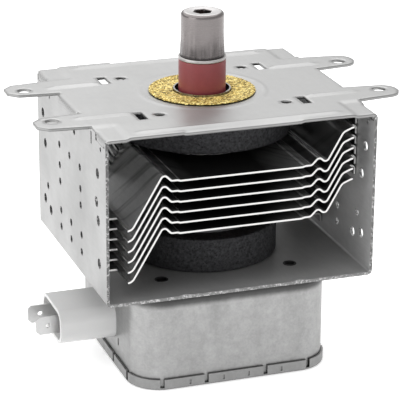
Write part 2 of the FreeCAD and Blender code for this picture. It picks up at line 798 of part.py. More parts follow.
def build_vanes(s, z):
    """Vanes that stand in from the shell, notched top and bottom for the strap rings."""
    body = new_body("anode_vanes")
    low, high = z.cavity - s.vane_height / 2, z.cavity + s.vane_height / 2
    outer = s.anode_radius - s.anode_wall
    inner_notch = s.strap_inner_radius - s.strap_gap
    outer_notch = s.strap_inner_radius + s.strap_width * 2 + s.strap_gap * 2
    notch_low, notch_high = low + s.strap_notch_depth, high - s.strap_notch_depth
    side = sketch_on(body, "XZ_Plane")
    polygon(side, [
        (s.vane_tip_radius, low), (inner_notch, low), (inner_notch, notch_low), (outer_notch, notch_low),
        (outer_notch, low), (outer + s.vane_thick, low), (outer + s.vane_thick, high), (outer_notch, high),
        (outer_notch, notch_high), (inner_notch, notch_high), (inner_notch, high), (s.vane_tip_radius, high)])
    vane = pad(body, side, s.vane_thick, middle=True)
    round_the_axis(body, [vane], int(s.vane_count.value))
    trim = sketch_on(body, "XY_Plane", z.cavity)
    circle(trim, ZERO, ZERO, outer)
    circle(trim, ZERO, ZERO, s.anode_radius * 1.5)
    pocket(body, trim)
    return body


def build_strap_rings(label, s, low):
    body = new_body(label)
    height = s.strap_notch_depth * 0.9
    first, second = s.strap_inner_radius, s.strap_inner_radius + s.strap_width + s.strap_gap
    rings = sketch_on(body, "XY_Plane", low)
    for radius in (first, second):
        circle(rings, ZERO, ZERO, radius)
        circle(rings, ZERO, ZERO, radius + s.strap_width)
    ring_pad = pad(body, rings, height)
    ring_pad.AllowMultiFace = True
    return body


def build_pole_piece(label, s, face, inward):
    """A flanged funnel that closes one end of the shell; inward is the way to the cavity."""
    body = new_body(label)
    flange = face + s.pole_flange_thick * inward
    deep = face + s.pole_funnel_depth * inward
    mouth, hole = s.pole_mouth_radius, s.pole_hole_radius
    spigot = s.anode_radius - s.anode_wall
    turned(body, [[
        (mouth, face), (s.anode_radius, face), (s.anode_radius, flange), (spigot, flange),
        (spigot, flange + s.pole_wall * inward), (mouth + s.pole_wall, flange + s.pole_wall * inward),
        (hole + s.pole_wall, deep), (hole, deep), (hole, deep - s.pole_wall * inward)]])
    if inward > 0:
        return body
    passage = sketch_on(body, "XY_Plane", face)
    circle(passage, s.antenna_lead_offset, ZERO, s.antenna_lead_passage_radius)
    pocket(body, passage)
    return body


# Cathode and stem
def build_filament(s, z):
    body = new_body("cathode_filament")
    low = z.cavity - s.filament_length / 2 + s.filament_wire_radius
    section = sketch_on(body, "XZ_Plane")
    hexagon(section, s.filament_radius, low, s.filament_wire_radius)
    coil = body.newObject("PartDesign::AdditiveHelix", "cathode_filament_coil")
    coil.Profile = section
    coil.ReferenceAxis = (section, ["V_Axis"])
    coil.Mode = "pitch-height-angle"
    bind(coil, "Pitch", s.filament_pitch)
    bind(coil, "Height", s.filament_length - s.filament_wire_radius * 2)
    return body


def build_disc(label, low, high, radius, holes):
    """A flat round piece with upright holes of (across, along, radius)."""
    body = new_body(label)
    outline = sketch_on(body, "XY_Plane", low)
    circle(outline, ZERO, ZERO, radius)
    for across, along, hole in holes:
        circle(outline, across, along, hole)
    pad(body, outline, high - low)
    return body


def build_rod(label, across, low, high, radius):
    body = new_body(label)
    outline = sketch_on(body, "XY_Plane", low)
    circle(outline, across, ZERO, radius)
    pad(body, outline, high - low)
    return body


def build_cathode(s, z):
    half = s.filament_length / 2
    hat_low, hat_high = z.cavity - half, z.cavity + half
    clear = s.cathode_lead_radius + 0.5
    lead_end = s.block_centre_height - s.choke_wire_radius * 2
    build_filament(s, z)
    build_disc("upper_end_hat", hat_high, hat_high + s.hat_thick, s.hat_radius,
               [(ZERO, ZERO, s.cathode_lead_radius)])
    build_disc("lower_end_hat", hat_low - s.hat_thick, hat_low, s.hat_radius, [(ZERO, ZERO, clear)])
    build_rod("centre_cathode_lead", ZERO, lead_end, hat_high + s.hat_thick, s.cathode_lead_radius)
    build_rod("side_cathode_lead", s.side_lead_offset, lead_end, hat_low - s.hat_thick, s.cathode_lead_radius)


def build_stem(s, z):
    """The lower metal sleeve and the insulator that closes it round the two leads."""
    sleeve = new_body("stem_sleeve")
    wall = s.sleeve_wall
    top, bottom = z.lower_magnet_top, z.floor_top
    lip = s.stem_insulator_radius - s.stem_step
    outer, flange = s.stem_sleeve_radius, s.sleeve_flange_radius
    turned(sleeve, [[
        (outer - wall, top), (flange, top), (flange, top - wall), (outer, top - wall), (outer, bottom),
        (lip, bottom), (lip, bottom + wall), (outer - wall, bottom + wall)]])
    insulator = new_body("stem_insulator")
    low = bottom - s.stem_insulator_height
    turned(insulator, [[
        (ZERO, low), (s.stem_insulator_radius - s.stem_step, low),
        (s.stem_insulator_radius - s.stem_step, low + s.stem_step), (s.stem_insulator_radius, low + s.stem_step),
        (s.stem_insulator_radius, bottom), (ZERO, bottom)]])
    leads = sketch_on(insulator, "XY_Plane", low)
    circle(leads, ZERO, ZERO, s.cathode_lead_radius)
    circle(leads, s.side_lead_offset, ZERO, s.cathode_lead_radius)
    pocket(insulator, leads)


# Antenna
def build_antenna(s, z):
    wall = s.sleeve_wall
    sleeve = new_body("antenna_sleeve")
    low, neck, seat = z.anode_top, z.plate_under - s.upper_magnet_thick / 3, z.insulator_base
    rim = z.plate_top + s.antenna_neck_rise
    wide, narrow = s.antenna_sleeve_radius, s.antenna_neck_radius
    lip, flange = s.antenna_insulator_bore, s.sleeve_flange_radius
    turned(sleeve, [[
        (wide - wall, low), (flange, low), (flange, low + wall), (wide, low + wall), (wide, neck),
        (narrow, seat - wall), (narrow, rim), (narrow - wall, rim), (narrow - wall, seat), (lip, seat),
        (lip, seat - wall), (narrow - wall, seat - wall), (wide - wall, neck)]])
    insulator = new_body("antenna_insulator")
    bore, radius = s.antenna_insulator_bore, s.antenna_insulator_radius
    turned(insulator, [[
        (bore, z.insulator_base), (radius, z.insulator_base), (radius, z.insulator_top), (bore, z.insulator_top)]])
    ring = new_body("antenna_seal_ring")
    turned(ring, [[
        (s.exhaust_tube_radius, z.insulator_top), (s.seal_ring_radius, z.insulator_top),
        (s.seal_ring_radius, z.cap_base), (s.exhaust_tube_radius, z.cap_base)]])
    fillet(ring, is_circle_at(z.cap_base.value, s.seal_ring_radius.value), s.seal_ring_thick / 3)
    build_exhaust_tube(s, z)
    build_cap(s, z)
    build_antenna_lead(s, z)


def build_exhaust_tube(s, z):
    """The copper tube that is pinched flat to seal the vacuum."""
    body = new_body("exhaust_tube")
    inner = s.exhaust_tube_radius - s.exhaust_tube_wall
    pinch_base = z.pinch_base
    low = z.insulator_top - s.seal_ring_thick
    turned(body, [[
        (inner, low), (s.exhaust_tube_radius, low), (s.exhaust_tube_radius, pinch_base), (ZERO, pinch_base),
        (ZERO, pinch_base - s.exhaust_tube_wall), (inner, pinch_base - s.exhaust_tube_wall)]])
    flat = sketch_on(body, "XY_Plane", pinch_base)
    reach, half = s.exhaust_tube_radius, s.exhaust_pinch_thick / 2
    rectangle(flat, -reach, reach, -half, half)
    pad(body, flat, s.cap_height * 0.35)
    return body


def build_cap(s, z):
    body = new_body("antenna_cap")
    wall, crown = s.cap_wall, z.cap_top - s.cap_wall * 2
    mouth = s.cap_radius + s.cap_flare
    turned(body, [[
        (mouth - wall, z.cap_base), (mouth, z.cap_base), (s.cap_radius, z.cap_base + s.cap_height / 2),
        (s.cap_radius, z.cap_top), (ZERO, z.cap_top), (ZERO, crown), (s.cap_radius - wall, crown),
        (s.cap_radius - wall, z.cap_base + s.cap_height / 2)]])
    fillet(body, is_circle_at(z.cap_top.value, s.cap_radius.value), s.cap_edge_radius)
    hole = sketch_on(body, "XY_Plane", z.cap_top)
    hexagon(hole, ZERO, ZERO, s.cap_hole_radius)
    pocket(body, hole, wall * 2)
    return body


def build_antenna_lead(s, z):
    """The lead from one vane up through the pole piece to the exhaust tube."""
    body = new_body("antenna_lead")
    offset, radius = s.antenna_lead_offset, s.antenna_lead_radius
    low = z.cavity + s.vane_height / 2
    path = sketch_on(body, "XZ_Plane")
    bend = radius * 3
    bent_path(path, [
        (offset, low, ZERO), (offset, z.anode_top + s.upper_magnet_thick / 6, bend),
        (ZERO, z.plate_top, bend), (ZERO, z.pinch_base - s.exhaust_tube_wall, ZERO)])
    section = sketch_on(body, "XY_Plane", low)
    circle(section, offset, ZERO, radius)
    swept(body, path, section)
    return body


# Terminal block, blades and chokes
def build_block(s, z):
    body = new_body("capacitor_housing")
    middle, half_height, half_width = s.block_centre_height, s.block_height / 2, s.block_width / 2
    outline = sketch_on(body, "YZ_Plane", -s.block_reach)
    rectangle(outline, -half_width, half_width, middle - half_height, middle + half_height)
    pad(body, outline, s.block_reach - s.block_inner_reach)
    socket = sketch_on(body, "YZ_Plane", -s.block_reach)
    rim_width, rim_height = half_width - s.block_wall, half_height - s.block_wall
    rectangle(socket, -rim_width, rim_width, middle - rim_height, middle + rim_height)
    pocket(body, socket, s.block_socket_depth, reverse=True)
    fillet(body, is_block_corner(rim_width.value), s.block_corner_radius - s.block_wall)
    fillet(body, is_block_corner(half_width.value), s.block_corner_radius)
    flange = sketch_on(body, "YZ_Plane", -(s.box_width / 2 - s.box_sheet))
    margin = s.block_flange
    rectangle(flange, -half_width - margin, half_width + margin,
              middle - half_height - margin, middle + half_height + margin)
    pad(body, flange, margin)
    slots = sketch_on(body, "YZ_Plane", -s.block_reach)
    half_blade, half_thick = s.blade_width / 2, s.blade_thick / 2
    for sign in (-1, 1):
        place = s.blade_spacing / 2 * sign
        rectangle(slots, place - half_thick, place + half_thick, middle - half_blade, middle + half_blade)
    pocket(body, slots)
    return body


def is_block_corner(across):
    """A test for the edges along X at one distance from the middle of the block."""
    def test(edge):
        box = edge.BoundBox
        return (len(edge.Vertexes) == 2 and box.YLength < TINY and box.ZLength < TINY
                and abs(abs(box.YMin) - across) < 1e-4)
    return test


def build_blade(number, s, place):
    body = new_body("blade_terminal_%d" % number)
    low, high = s.block_centre_height - s.blade_width / 2, s.block_centre_height + s.blade_width / 2
    side = sketch_on(body, "XZ_Plane", -place)
    rectangle(side, -s.blade_reach, -(s.block_inner_reach - s.blade_tail), low, high)
    circle(side, -(s.blade_reach - s.blade_hole_inset), s.block_centre_height, s.blade_hole_radius)
    pad(body, side, s.blade_thick, middle=True)
    chamfer(body, lambda edge: is_along_y(edge) and abs(edge.BoundBox.XMin + s.blade_reach.value) < 1e-4,
            s.blade_clip)
    return body


def is_along_y(edge):
    box = edge.BoundBox
    return len(edge.Vertexes) == 2 and box.XLength < TINY and box.ZLength < TINY


def build_choke(number, s, side, lead):
    """A ferrite rod inside a coil, whose tails reach the terminal blade and one cathode lead."""
    height, wire, thin = s.block_centre_height, s.choke_wire_radius, s.choke_tail_radius
    tail = (s.blade_spacing / 2 + s.blade_thick / 2 + thin) * side
    place = tail + s.choke_coil_radius * side
    core = new_body("choke_core_%d" % number)
    end = sketch_on(core, "YZ_Plane", -(s.choke_start + s.choke_pitch))
    circle(end, place, height, s.choke_coil_radius - wire - s.choke_clearance)
    pad(core, end, s.choke_core_length)
    coil = new_body("choke_coil_%d" % number)
    section = sketch_on(coil, "XY_Plane", height)
    section.setExpression("AttachmentOffset.Base.y", place.text)
    hexagon(section, -s.choke_start, s.choke_coil_radius * -side, wire)
    turns = coil.newObject("PartDesign::AdditiveHelix", "choke_coil_%d_turns" % number)
    turns.Profile = section
    turns.ReferenceAxis = (section, ["H_Axis"])
    turns.Mode = "pitch-height-angle"
    bind(turns, "Pitch", s.choke_pitch)
    bind(turns, "Height", s.choke_length)
    first = sketch_on(coil, "YZ_Plane", -(s.choke_start - wire))
    circle(first, tail, height, thin)
    pad(coil, first, s.choke_tail, reverse=True)
    last = s.choke_length - s.choke_start
    section = sketch_on(coil, "YZ_Plane", last - wire)
    circle(section, tail, height, thin)
    path = sketch_on(coil, "XY_Plane", height)
    bent_path(path, [
        (last - wire, tail, ZERO), (lead, tail, wire * 4), (lead, s.cathode_lead_radius * side, ZERO)])
    swept(coil, path, section)


def build_all():
    doc = FreeCAD.newDocument("magnetron")
    s = fill_sheet(doc)
    z = levels(s)
    build_filter_lid(s, z)
    build_filter_box(s, z)
    build_yoke(s, z)
    build_magnet("lower_magnet", s, z.floor_top, z.lower_magnet_top, s.lower_magnet_radius)
    build_magnet("upper_magnet", s, z.anode_top, z.plate_under, s.upper_magnet_radius)
    build_top_plate(s, z)
    build_gasket(s, z)
    for number in range(1, FIN_COUNT + 1):
        build_fin(number, s, z)
    build_anode_shell(s, z)
    build_vanes(s, z)
    vane_low, vane_high = z.cavity - s.vane_height / 2, z.cavity + s.vane_height / 2
    build_strap_rings("upper_strap_rings", s, vane_high - s.strap_notch_depth)
    build_strap_rings("lower_strap_rings", s, vane_low + s.strap_notch_depth * 0.1)
    build_pole_piece("lower_pole_piece", s, z.lower_magnet_top, 1)
    build_pole_piece("upper_pole_piece", s, z.anode_top, -1)
    build_cathode(s, z)
    build_stem(s, z)
    build_antenna(s, z)
    build_block(s, z)
    for number, side, lead in ((1, -1, ZERO), (2, 1, s.side_lead_offset)):
        build_blade(number, s, s.blade_spacing / 2 * side)
        build_choke(number, s, side, lead)
    doc.recompute()
    return doc


def write_parts(doc):
    """Writes each piece to its own file once every feature has come out sound."""
    failed = [item.Label for item in doc.Objects if {"Invalid", "Error"} & set(item.State)]
    if failed:
        raise RuntimeError("failed features: " + ", ".join(failed))
    bodies = [item for item in doc.Objects if item.TypeId == "PartDesign::Body"]
    for body in bodies:
        if body.Shape.isNull() or not body.Shape.isValid():
            raise RuntimeError("no sound solid: " + body.Label)
    os.makedirs("parts", exist_ok=True)
    for body in bodies:
        body.Shape.exportStep(os.path.join("parts", body.Label + ".step"))
        print("%-22s %d solid, %8.1f mm3" % (body.Label, len(body.Shape.Solids), body.Shape.Volume))


write_parts(build_all())
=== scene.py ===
import json
import math

import bmesh
import bpy
from mathutils import Matrix, Vector, geometry, noise


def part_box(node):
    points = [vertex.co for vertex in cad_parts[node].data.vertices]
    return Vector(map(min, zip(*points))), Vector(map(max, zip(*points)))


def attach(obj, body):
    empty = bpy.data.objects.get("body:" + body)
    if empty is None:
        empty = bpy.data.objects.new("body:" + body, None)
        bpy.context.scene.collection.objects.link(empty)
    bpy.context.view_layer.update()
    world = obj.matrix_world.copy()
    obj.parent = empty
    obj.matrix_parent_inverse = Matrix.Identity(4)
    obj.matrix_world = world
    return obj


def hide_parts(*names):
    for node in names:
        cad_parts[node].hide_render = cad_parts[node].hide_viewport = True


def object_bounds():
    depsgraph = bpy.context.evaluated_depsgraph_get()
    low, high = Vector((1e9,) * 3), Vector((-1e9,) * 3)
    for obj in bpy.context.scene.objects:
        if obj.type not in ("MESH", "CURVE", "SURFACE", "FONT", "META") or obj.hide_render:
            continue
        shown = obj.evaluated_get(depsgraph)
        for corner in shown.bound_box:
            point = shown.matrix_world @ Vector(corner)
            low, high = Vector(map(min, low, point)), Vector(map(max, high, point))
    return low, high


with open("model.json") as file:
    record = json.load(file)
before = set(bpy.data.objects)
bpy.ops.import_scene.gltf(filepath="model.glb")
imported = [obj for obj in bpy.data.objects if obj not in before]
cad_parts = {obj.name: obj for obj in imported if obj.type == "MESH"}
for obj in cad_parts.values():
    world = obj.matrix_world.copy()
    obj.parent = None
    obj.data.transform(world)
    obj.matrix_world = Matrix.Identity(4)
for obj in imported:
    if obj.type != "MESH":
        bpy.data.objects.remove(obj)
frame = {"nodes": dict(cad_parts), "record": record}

bl_info = {
    "name": "Magnetron dressing",
    "version": (1, 0, 0),
    "blender": (4, 5, 0),
    "location": "View3D > Sidebar > Magnetron",
    "description": "Finishes, pressed sheet metal, wire gasket and studio of a magnetron",
    "category": "Object",
}

BODY = "root"
MM = 0.001
CAD_LOW, CAD_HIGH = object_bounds()
KNIT_SEED = 1
SLOTS = {part["node"]: part["material_slot"] for part in frame["record"]["subparts"]}


def mm_property(name, description, default):
    """A length in metres, given here in millimetres."""
    return bpy.props.FloatProperty(name=name, description=description, default=default * MM, unit="LENGTH")


def angle_property(name, description, degrees):
    return bpy.props.FloatProperty(
        name=name, description=description, default=math.radians(degrees), subtype="ANGLE")


def number_property(name, description, default):
    return bpy.props.FloatProperty(name=name, description=description, default=default)


def colour_property(name, description, default):
    return bpy.props.FloatVectorProperty(
        name=name, description=description, default=default, size=3, min=0.0, max=1.0, subtype="COLOR")


class PressedSheetSizes(bpy.types.PropertyGroup):
    """Sizes of the pressed mounting plate."""

    mesh_step: mm_property("Mesh step", "Distance between the points of the pressed sheet", 0.9)
    sheet: mm_property("Sheet", "Thickness of the plate", 1.0)
    deck_half_width: mm_property("Deck half width", "From the middle to the yoke's outer face", 46.7)
    deck_half_depth: mm_property("Deck half depth", "From the middle to the front edge", 41.5)
    opening_radius: mm_property("Opening radius", "Round opening for the antenna", 12.4)
    ear_inner: mm_property("Ear inner edge", "Inner side of an ear at its root", 12.0)
    ear_outer: mm_property("Ear outer edge", "Outer side of an ear at its root", 26.3)
    ear_taper: mm_property("Ear taper", "How much each side of an ear draws in", 1.4)
    ear_end_radius: mm_property("Ear end radius", "Round corners of the right ears", 5.2)
    ear_clip: mm_property("Ear clip", "Cut corners of the left ears", 3.2)
    ear_hole_radius: mm_property("Ear hole radius", "Round hole in each ear", 2.4)
    bead_height: mm_property("Bead height", "Height of the pressed beads", 0.55)
    bead_width: mm_property("Bead width", "Half width of the pressed beads", 1.35)
    corner_step: mm_property("Corner step", "How far the corners are pressed down", 0.5)
    flange_height: mm_property("Flange height", "Height of the side flange between the ears", 2.6)
    flange_half_length: mm_property("Flange half length", "Half the length of the side flange", 10.2)
    fold_radius: mm_property("Fold radius", "Outer radius of the folds", 1.25)


class GasketSizes(bpy.types.PropertyGroup):
    """Sizes of the knitted wire gasket."""

    wire: mm_property("Wire radius", "Radius of one wire", 0.105)
    loops: bpy.props.IntProperty(
        name="Loops", description="Turns of one wire round the ring's section", default=6, min=1)
    strands: bpy.props.IntProperty(
        name="Strands", description="Wires that wind each way round the ring", default=13, min=2)


class FinishColours(bpy.types.PropertyGroup):
    """Colours of the finishes."""

    zinc: colour_property("Zinc", "Zinc plated plate", (0.495, 0.495, 0.492))
    yoke_zinc: colour_property("Yoke zinc", "Zinc plated yoke", (0.42, 0.42, 0.418))
    # Painted light: a lighter copy of the yoke's zinc for its inner side; the floor takes it darker as
    # painted shade.
    inside_zinc_painted_tone: colour_property("Inside zinc", "Dull inner side of the yoke", (0.58, 0.58, 0.58))
    box_zinc: colour_property("Box zinc", "Drawn filter box", (0.385, 0.385, 0.383))
    aluminium: colour_property("Aluminium", "Sloping parts of the cooling fins", (0.76, 0.76, 0.76))
    fin_edge: colour_property("Fin edge", "Sheared edges of the cooling fins", (0.68, 0.68, 0.67))
    # Painted dark reflection: the near black of the fins' flat middles stands for the dark inside they
    # reflect.
    fin_flat_shade: colour_property("Fin film", "Dark film on the flat middle of the fins", (0.010, 0.010, 0.010))
    ferrite: colour_property("Ferrite", "Ring magnets", (0.018, 0.018, 0.019))
    nickel: colour_property("Nickel", "Antenna cap", (0.205, 0.188, 0.186))
    bright: colour_property("Bright plate", "Seal ring and sleeves", (0.46, 0.445, 0.435))
    rose: colour_property("Rose ceramic", "Glazed antenna insulator", (0.25, 0.045, 0.05))
    alumina: colour_property("White ceramic", "Stem insulator", (0.85, 0.83, 0.78))
    brass: colour_property("Brass wire", "Gasket wire", (0.64, 0.46, 0.125))
    plastic: colour_property("Milky plastic", "Terminal housing", (0.61, 0.61, 0.608))
    tin: colour_property("Tin", "Blade terminals", (0.56, 0.56, 0.558))
    copper: colour_property("Copper", "Anode, leads and chokes", (0.78, 0.38, 0.22))
    floor: colour_property("Floor", "Studio floor", (0.93, 0.93, 0.93))


class StudioSettings(bpy.types.PropertyGroup):
    """Camera and light."""

    yaw: angle_property("Yaw", "Turn of the view to the right", 19.36)
    pitch: angle_property("Pitch", "How far the view looks down", 20.11)
    roll: angle_property("Roll", "Tilt of the frame", 0.36)
    distance: mm_property("Distance", "From the camera to its aim", 688.9)
    aim: bpy.props.FloatVectorProperty(
        name="Aim", description="Point at the middle of the frame", default=(-0.00468, -0.01199, 0.05688),
        size=3, subtype="TRANSLATION", unit="LENGTH")
    lens: number_property("Lens", "Focal length in millimetres", 182.85)
    key_power: number_property("Key", "Power of the large top light", 11.0)
    side_power: number_property("Side", "Power of the left light", 1.5)
    sky: number_property("Sky", "Strength of the even light", 0.7)


# Shared shader groups
class Nodes:
    """A node tree and short ways to add to it."""

    def __init__(self, tree):
        self.tree = tree

    def add(self, kind, values=None, **settings):
        """A node with settings on itself, and sockets or plain values on its inputs."""
        node = self.tree.nodes.new(kind)
        for key, value in settings.items():
            setattr(node, key, value)
        for key, value in (values or {}).items():
            if isinstance(value, bpy.types.NodeSocket):
                self.tree.links.new(value, node.inputs[key])
            else:
                node.inputs[key].default_value = value
        return node

    def math(self, operation, *values):
        return self.add("ShaderNodeMath", dict(enumerate(values)), operation=operation).outputs[0]

    def ramp(self, value, low, high):
        """Maps a value from low..high to 0..1."""
        limits = {"Value": value, "From Min": low, "From Max": high}
        return self.add("ShaderNodeMapRange", limits, clamp=True).outputs["Result"]

    def cloud(self, vector, scale, detail=4.0, roughness=0.55):
        """Noise over a vector."""
        values = {"Vector": vector, "Scale": scale, "Detail": detail, "Roughness": roughness}
        return self.add("ShaderNodeTexNoise", values).outputs["Fac"]

    def vector(self, *values):
        """A vector from sockets; a share that isn't given is zero."""
        return self.add("ShaderNodeCombineXYZ", dict(enumerate(values))).outputs[0]

    def axes(self, vector=None):
        """The X, Y and Z shares of a vector, or else of the surface's own normal."""
        vector = vector or self.add("ShaderNodeNewGeometry").outputs["True Normal"]
        return self.add("ShaderNodeSeparateXYZ", {0: vector}).outputs


class Group(Nodes):
    """A shader group with inputs given as name=default, where None stands for a vector."""

    def __init__(self, name, outputs, **inputs):
        super().__init__(bpy.data.node_groups.new(name, "ShaderNodeTree"))
        sockets = self.tree.interface
        for key, default in inputs.items():
            kind = "NodeSocketVector" if default is None else "NodeSocketFloat"
            socket = sockets.new_socket(socket_name(key), in_out="INPUT", socket_type=kind)
            if default is not None:
                socket.default_value = default
        for label in outputs:
            sockets.new_socket(label, in_out="OUTPUT", socket_type="NodeSocketFloat")
        self.given = self.add("NodeGroupInput").outputs
        self.out = self.add("NodeGroupOutput").inputs

    def send(self, **values):
        """Links sockets to the group's outputs by name."""
        for key, value in values.items():
            self.tree.links.new(value, self.out[socket_name(key)])


def socket_name(key):
    return key.replace("_", " ").capitalize()


def sheet_grain_group():
    """Rolling streaks, spangle and smudges of plated sheet."""
    group = Group(
        "sheet_grain", ["Grain", "Smudge", "Height"],
        vector=None, streak_scale=900.0, spangle_scale=260.0, smudge_scale=45.0)
    vector = group.given["Vector"]
    place = group.axes(vector)
    rolled = group.vector(place["X"], group.math("MULTIPLY", place["Y"], 0.12), place["Z"])
    streak = group.cloud(rolled, group.given["Streak scale"])
    spangle = group.cloud(vector, group.given["Spangle scale"], 3.0, 0.65)
    smudge = group.cloud(vector, group.given["Smudge scale"], 5.0, 0.6)
    grain = group.math("MULTIPLY_ADD", streak, 0.5, group.math("MULTIPLY", spangle, 0.5))
    group.send(grain=group.ramp(grain, 0.3, 0.7), smudge=group.ramp(smudge, 0.35, 0.68), height=grain)


def level_face_group():
    """One on level faces in the middle of the part, a little less towards both sides."""
    group = Group("level_face", ["Mask"], vector=None)
    level = group.ramp(group.math("ABSOLUTE", group.axes()["Z"]), 0.93, 0.985)
    from_middle = group.math("ADD", group.axes(group.given["Vector"])["X"], 0.004)
    fade = group.ramp(group.math("ABSOLUTE", from_middle), 0.031, 0.012)
    group.send(mask=group.math("MULTIPLY", level, group.math("MULTIPLY_ADD", fade, 0.2, 0.8)))


def fin_reflection_bands_group():
    """Soft dark bands across the sloping parts of the fins."""
    group = Group("fin_reflection_bands", ["Mask"], vector=None)
    place = group.axes(group.given["Vector"])
    slanted = group.math("MULTIPLY_ADD", place["X"], 1.45, place["Y"])
    along = group.math("MULTIPLY_ADD", place["Y"], 0.12, group.math("MULTIPLY", place["X"], -0.08))
    bands = group.cloud(group.vector(slanted, along), 170.0, 2.0, 0.5)
    group.send(mask=group.ramp(bands, 0.5, 0.64))


def drawn_marks_group():
    """Upright forming marks of a deep drawn can, or level ones of a turned cap."""
    group = Group("drawn_marks", ["Mask", "Height"], vector=None, scale=600.0, stretch=0.06)
    place = group.axes(group.given["Vector"])
    tall = group.math("MULTIPLY", place["Z"], group.given["Stretch"])
    marks = group.cloud(group.vector(place["X"], place["Y"], tall), group.given["Scale"], 5.0, 0.6)
    group.send(mask=group.ramp(marks, 0.32, 0.72), height=marks)


def pitting_group():
    """Grains and open pits of sintered or moulded stuff."""
    group = Group(
        "pitting", ["Grain", "Pits", "Flecks", "Height"], vector=None, grain_scale=2600.0, pit_scale=700.0)
    vector = group.given["Vector"]
    grain = group.cloud(vector, group.given["Grain scale"], 3.0, 0.7)
    cells = group.add("ShaderNodeTexVoronoi", {"Vector": vector, "Scale": group.given["Pit scale"]}).outputs
    pits = group.ramp(cells["Distance"], 0.28, 0.1)
    flecks = group.add("ShaderNodeSeparateColor", {"Color": cells["Color"]}).outputs["Red"]
    group.send(
        grain=group.ramp(grain, 0.3, 0.75), pits=pits, flecks=flecks,
        height=group.math("MULTIPLY_ADD", pits, -0.5, grain))


def crevice_shade_group():
    """One deep in gaps and corners, for grime and shade."""
    group = Group("crevice_shade", ["Mask"], reach=0.0012)
    open_share = group.add("ShaderNodeAmbientOcclusion", {"Distance": group.given["Reach"]}, samples=6)
    group.send(mask=group.ramp(open_share.outputs["AO"], 0.75, 0.15))


def height_band_group():
    """Eases from zero to one between two heights, with a ragged edge."""
    group = Group("height_band", ["Mask"], vector=None, low=0.0, high=0.01, ragged=0.0006)
    vector = group.given["Vector"]
    rough = group.math("SUBTRACT", group.cloud(vector, 350.0), 0.5)
    height = group.math("ADD", group.axes(vector)["Z"], group.math("MULTIPLY", rough, group.given["Ragged"]))
    limits = {"Value": height, "From Min": group.given["Low"], "From Max": group.given["High"]}
    band = group.add("ShaderNodeMapRange", limits, interpolation_type="SMOOTHSTEP")
    group.send(mask=band.outputs["Result"])


def inner_side_group():
    """One on surfaces that face the upright middle plane of the part."""
    group = Group("inner_side", ["Mask"], vector=None)
    outward = group.math("MULTIPLY", group.axes(group.given["Vector"])["X"], group.axes()["X"])
    group.send(mask=group.math("LESS_THAN", outward, -0.01))


def facing_group():
    """How far a surface looks up, and whether it stands on edge."""
    group = Group("facing", ["Upward", "Upright"])
    height = group.axes()["Z"]
    level = group.math("ABSOLUTE", height)
    group.send(upward=group.ramp(height, 0.8, 0.95), upright=group.ramp(level, 0.45, 0.15))


def cut_edge_group():
    """The sheared edges of sheet parts: one where the surface faces along Y."""
    group = Group("cut_edge", ["Mask"], sharpness=0.85)
    along = group.math("ABSOLUTE", group.axes()["Y"])
    group.send(mask=group.math("GREATER_THAN", along, group.given["Sharpness"]))


# Material making
class Finish(Nodes):
    """A material with a Principled shader and short ways to feed its sockets."""

    def __init__(self, name, colour, **values):
        material = bpy.data.materials.get(name) or bpy.data.materials.new(name)
        material.use_nodes = True
        super().__init__(material.node_tree)
        self.tree.nodes.clear()
        self.shader = self.add("ShaderNodeBsdfPrincipled")
        self.add("ShaderNodeOutputMaterial", {"Surface": self.shader.outputs["BSDF"]})
        self.colour = tuple(colour)
        self.shader.inputs["Base Color"].default_value = (*self.colour, 1.0)
        for key, value in values.items():
            self.shader.inputs[key.replace("_", " ").title().replace("Ior", "IOR")].default_value = value
        self.place = self.add("ShaderNodeTexCoord").outputs["Object"]

    def feed(self, name, source):
        self.tree.links.new(source, self.shader.inputs[name])

    def group(self, name, **values):
        """Adds a shared group over the object's own space and returns its outputs."""
        node = self.add("ShaderNodeGroup", node_tree=bpy.data.node_groups[name])
        for key, value in values.items():
            node.inputs[socket_name(key)].default_value = value
        if "Vector" in node.inputs:
            self.tree.links.new(self.place, node.inputs["Vector"])
        return node.outputs

    def mask(self, name, **values):
        return self.group(name, **values)["Mask"]

    def tint(self, *steps):
        """Mixes shades over the base: (mask, share, colour or factor of the base colour)."""
        last = (*self.colour, 1.0)
        for mask, share, shade in steps:
            colour = scaled(self.colour, shade) if isinstance(shade, float) else shade
            inputs = {0: self.math("MULTIPLY", mask, share), 6: last, 7: (*colour, 1.0)}
            last = self.add("ShaderNodeMix", inputs, data_type="RGBA").outputs[2]
        self.feed("Base Color", last)

    def roughness(self, mask, low, high):
        node = self.add("ShaderNodeMapRange", {"Value": mask, "To Min": low, "To Max": high})
        self.feed("Roughness", node.outputs["Result"])

    def bump(self, height, strength, distance):
        values = {"Height": height, "Strength": strength, "Distance": distance * MM}
        self.feed("Normal", self.add("ShaderNodeBump", values).outputs["Normal"])


def scaled(colour, factor):
    return tuple(min(1.0, part * factor) for part in colour)


def plated_sheet(colours):
    look = Finish("zinc_plated_steel", colours.zinc, metallic=1.0)
    grain = look.group("sheet_grain")
    look.tint(
        (grain["Grain"], 0.5, 0.86),
        (grain["Smudge"], 0.5, 0.9),
        # Painted shade: faces that stand on edge, such as folds, flanges and the front lip, are darkened.
        (look.group("facing")["Upright"], 0.85, 0.6),
        # Painted shade in the gaps and corners of the plate.
        (look.mask("crevice_shade", reach=0.0014), 0.7, 0.15))
    look.roughness(grain["Smudge"], 0.4, 0.54)
    look.bump(grain["Height"], 0.12, 0.05)


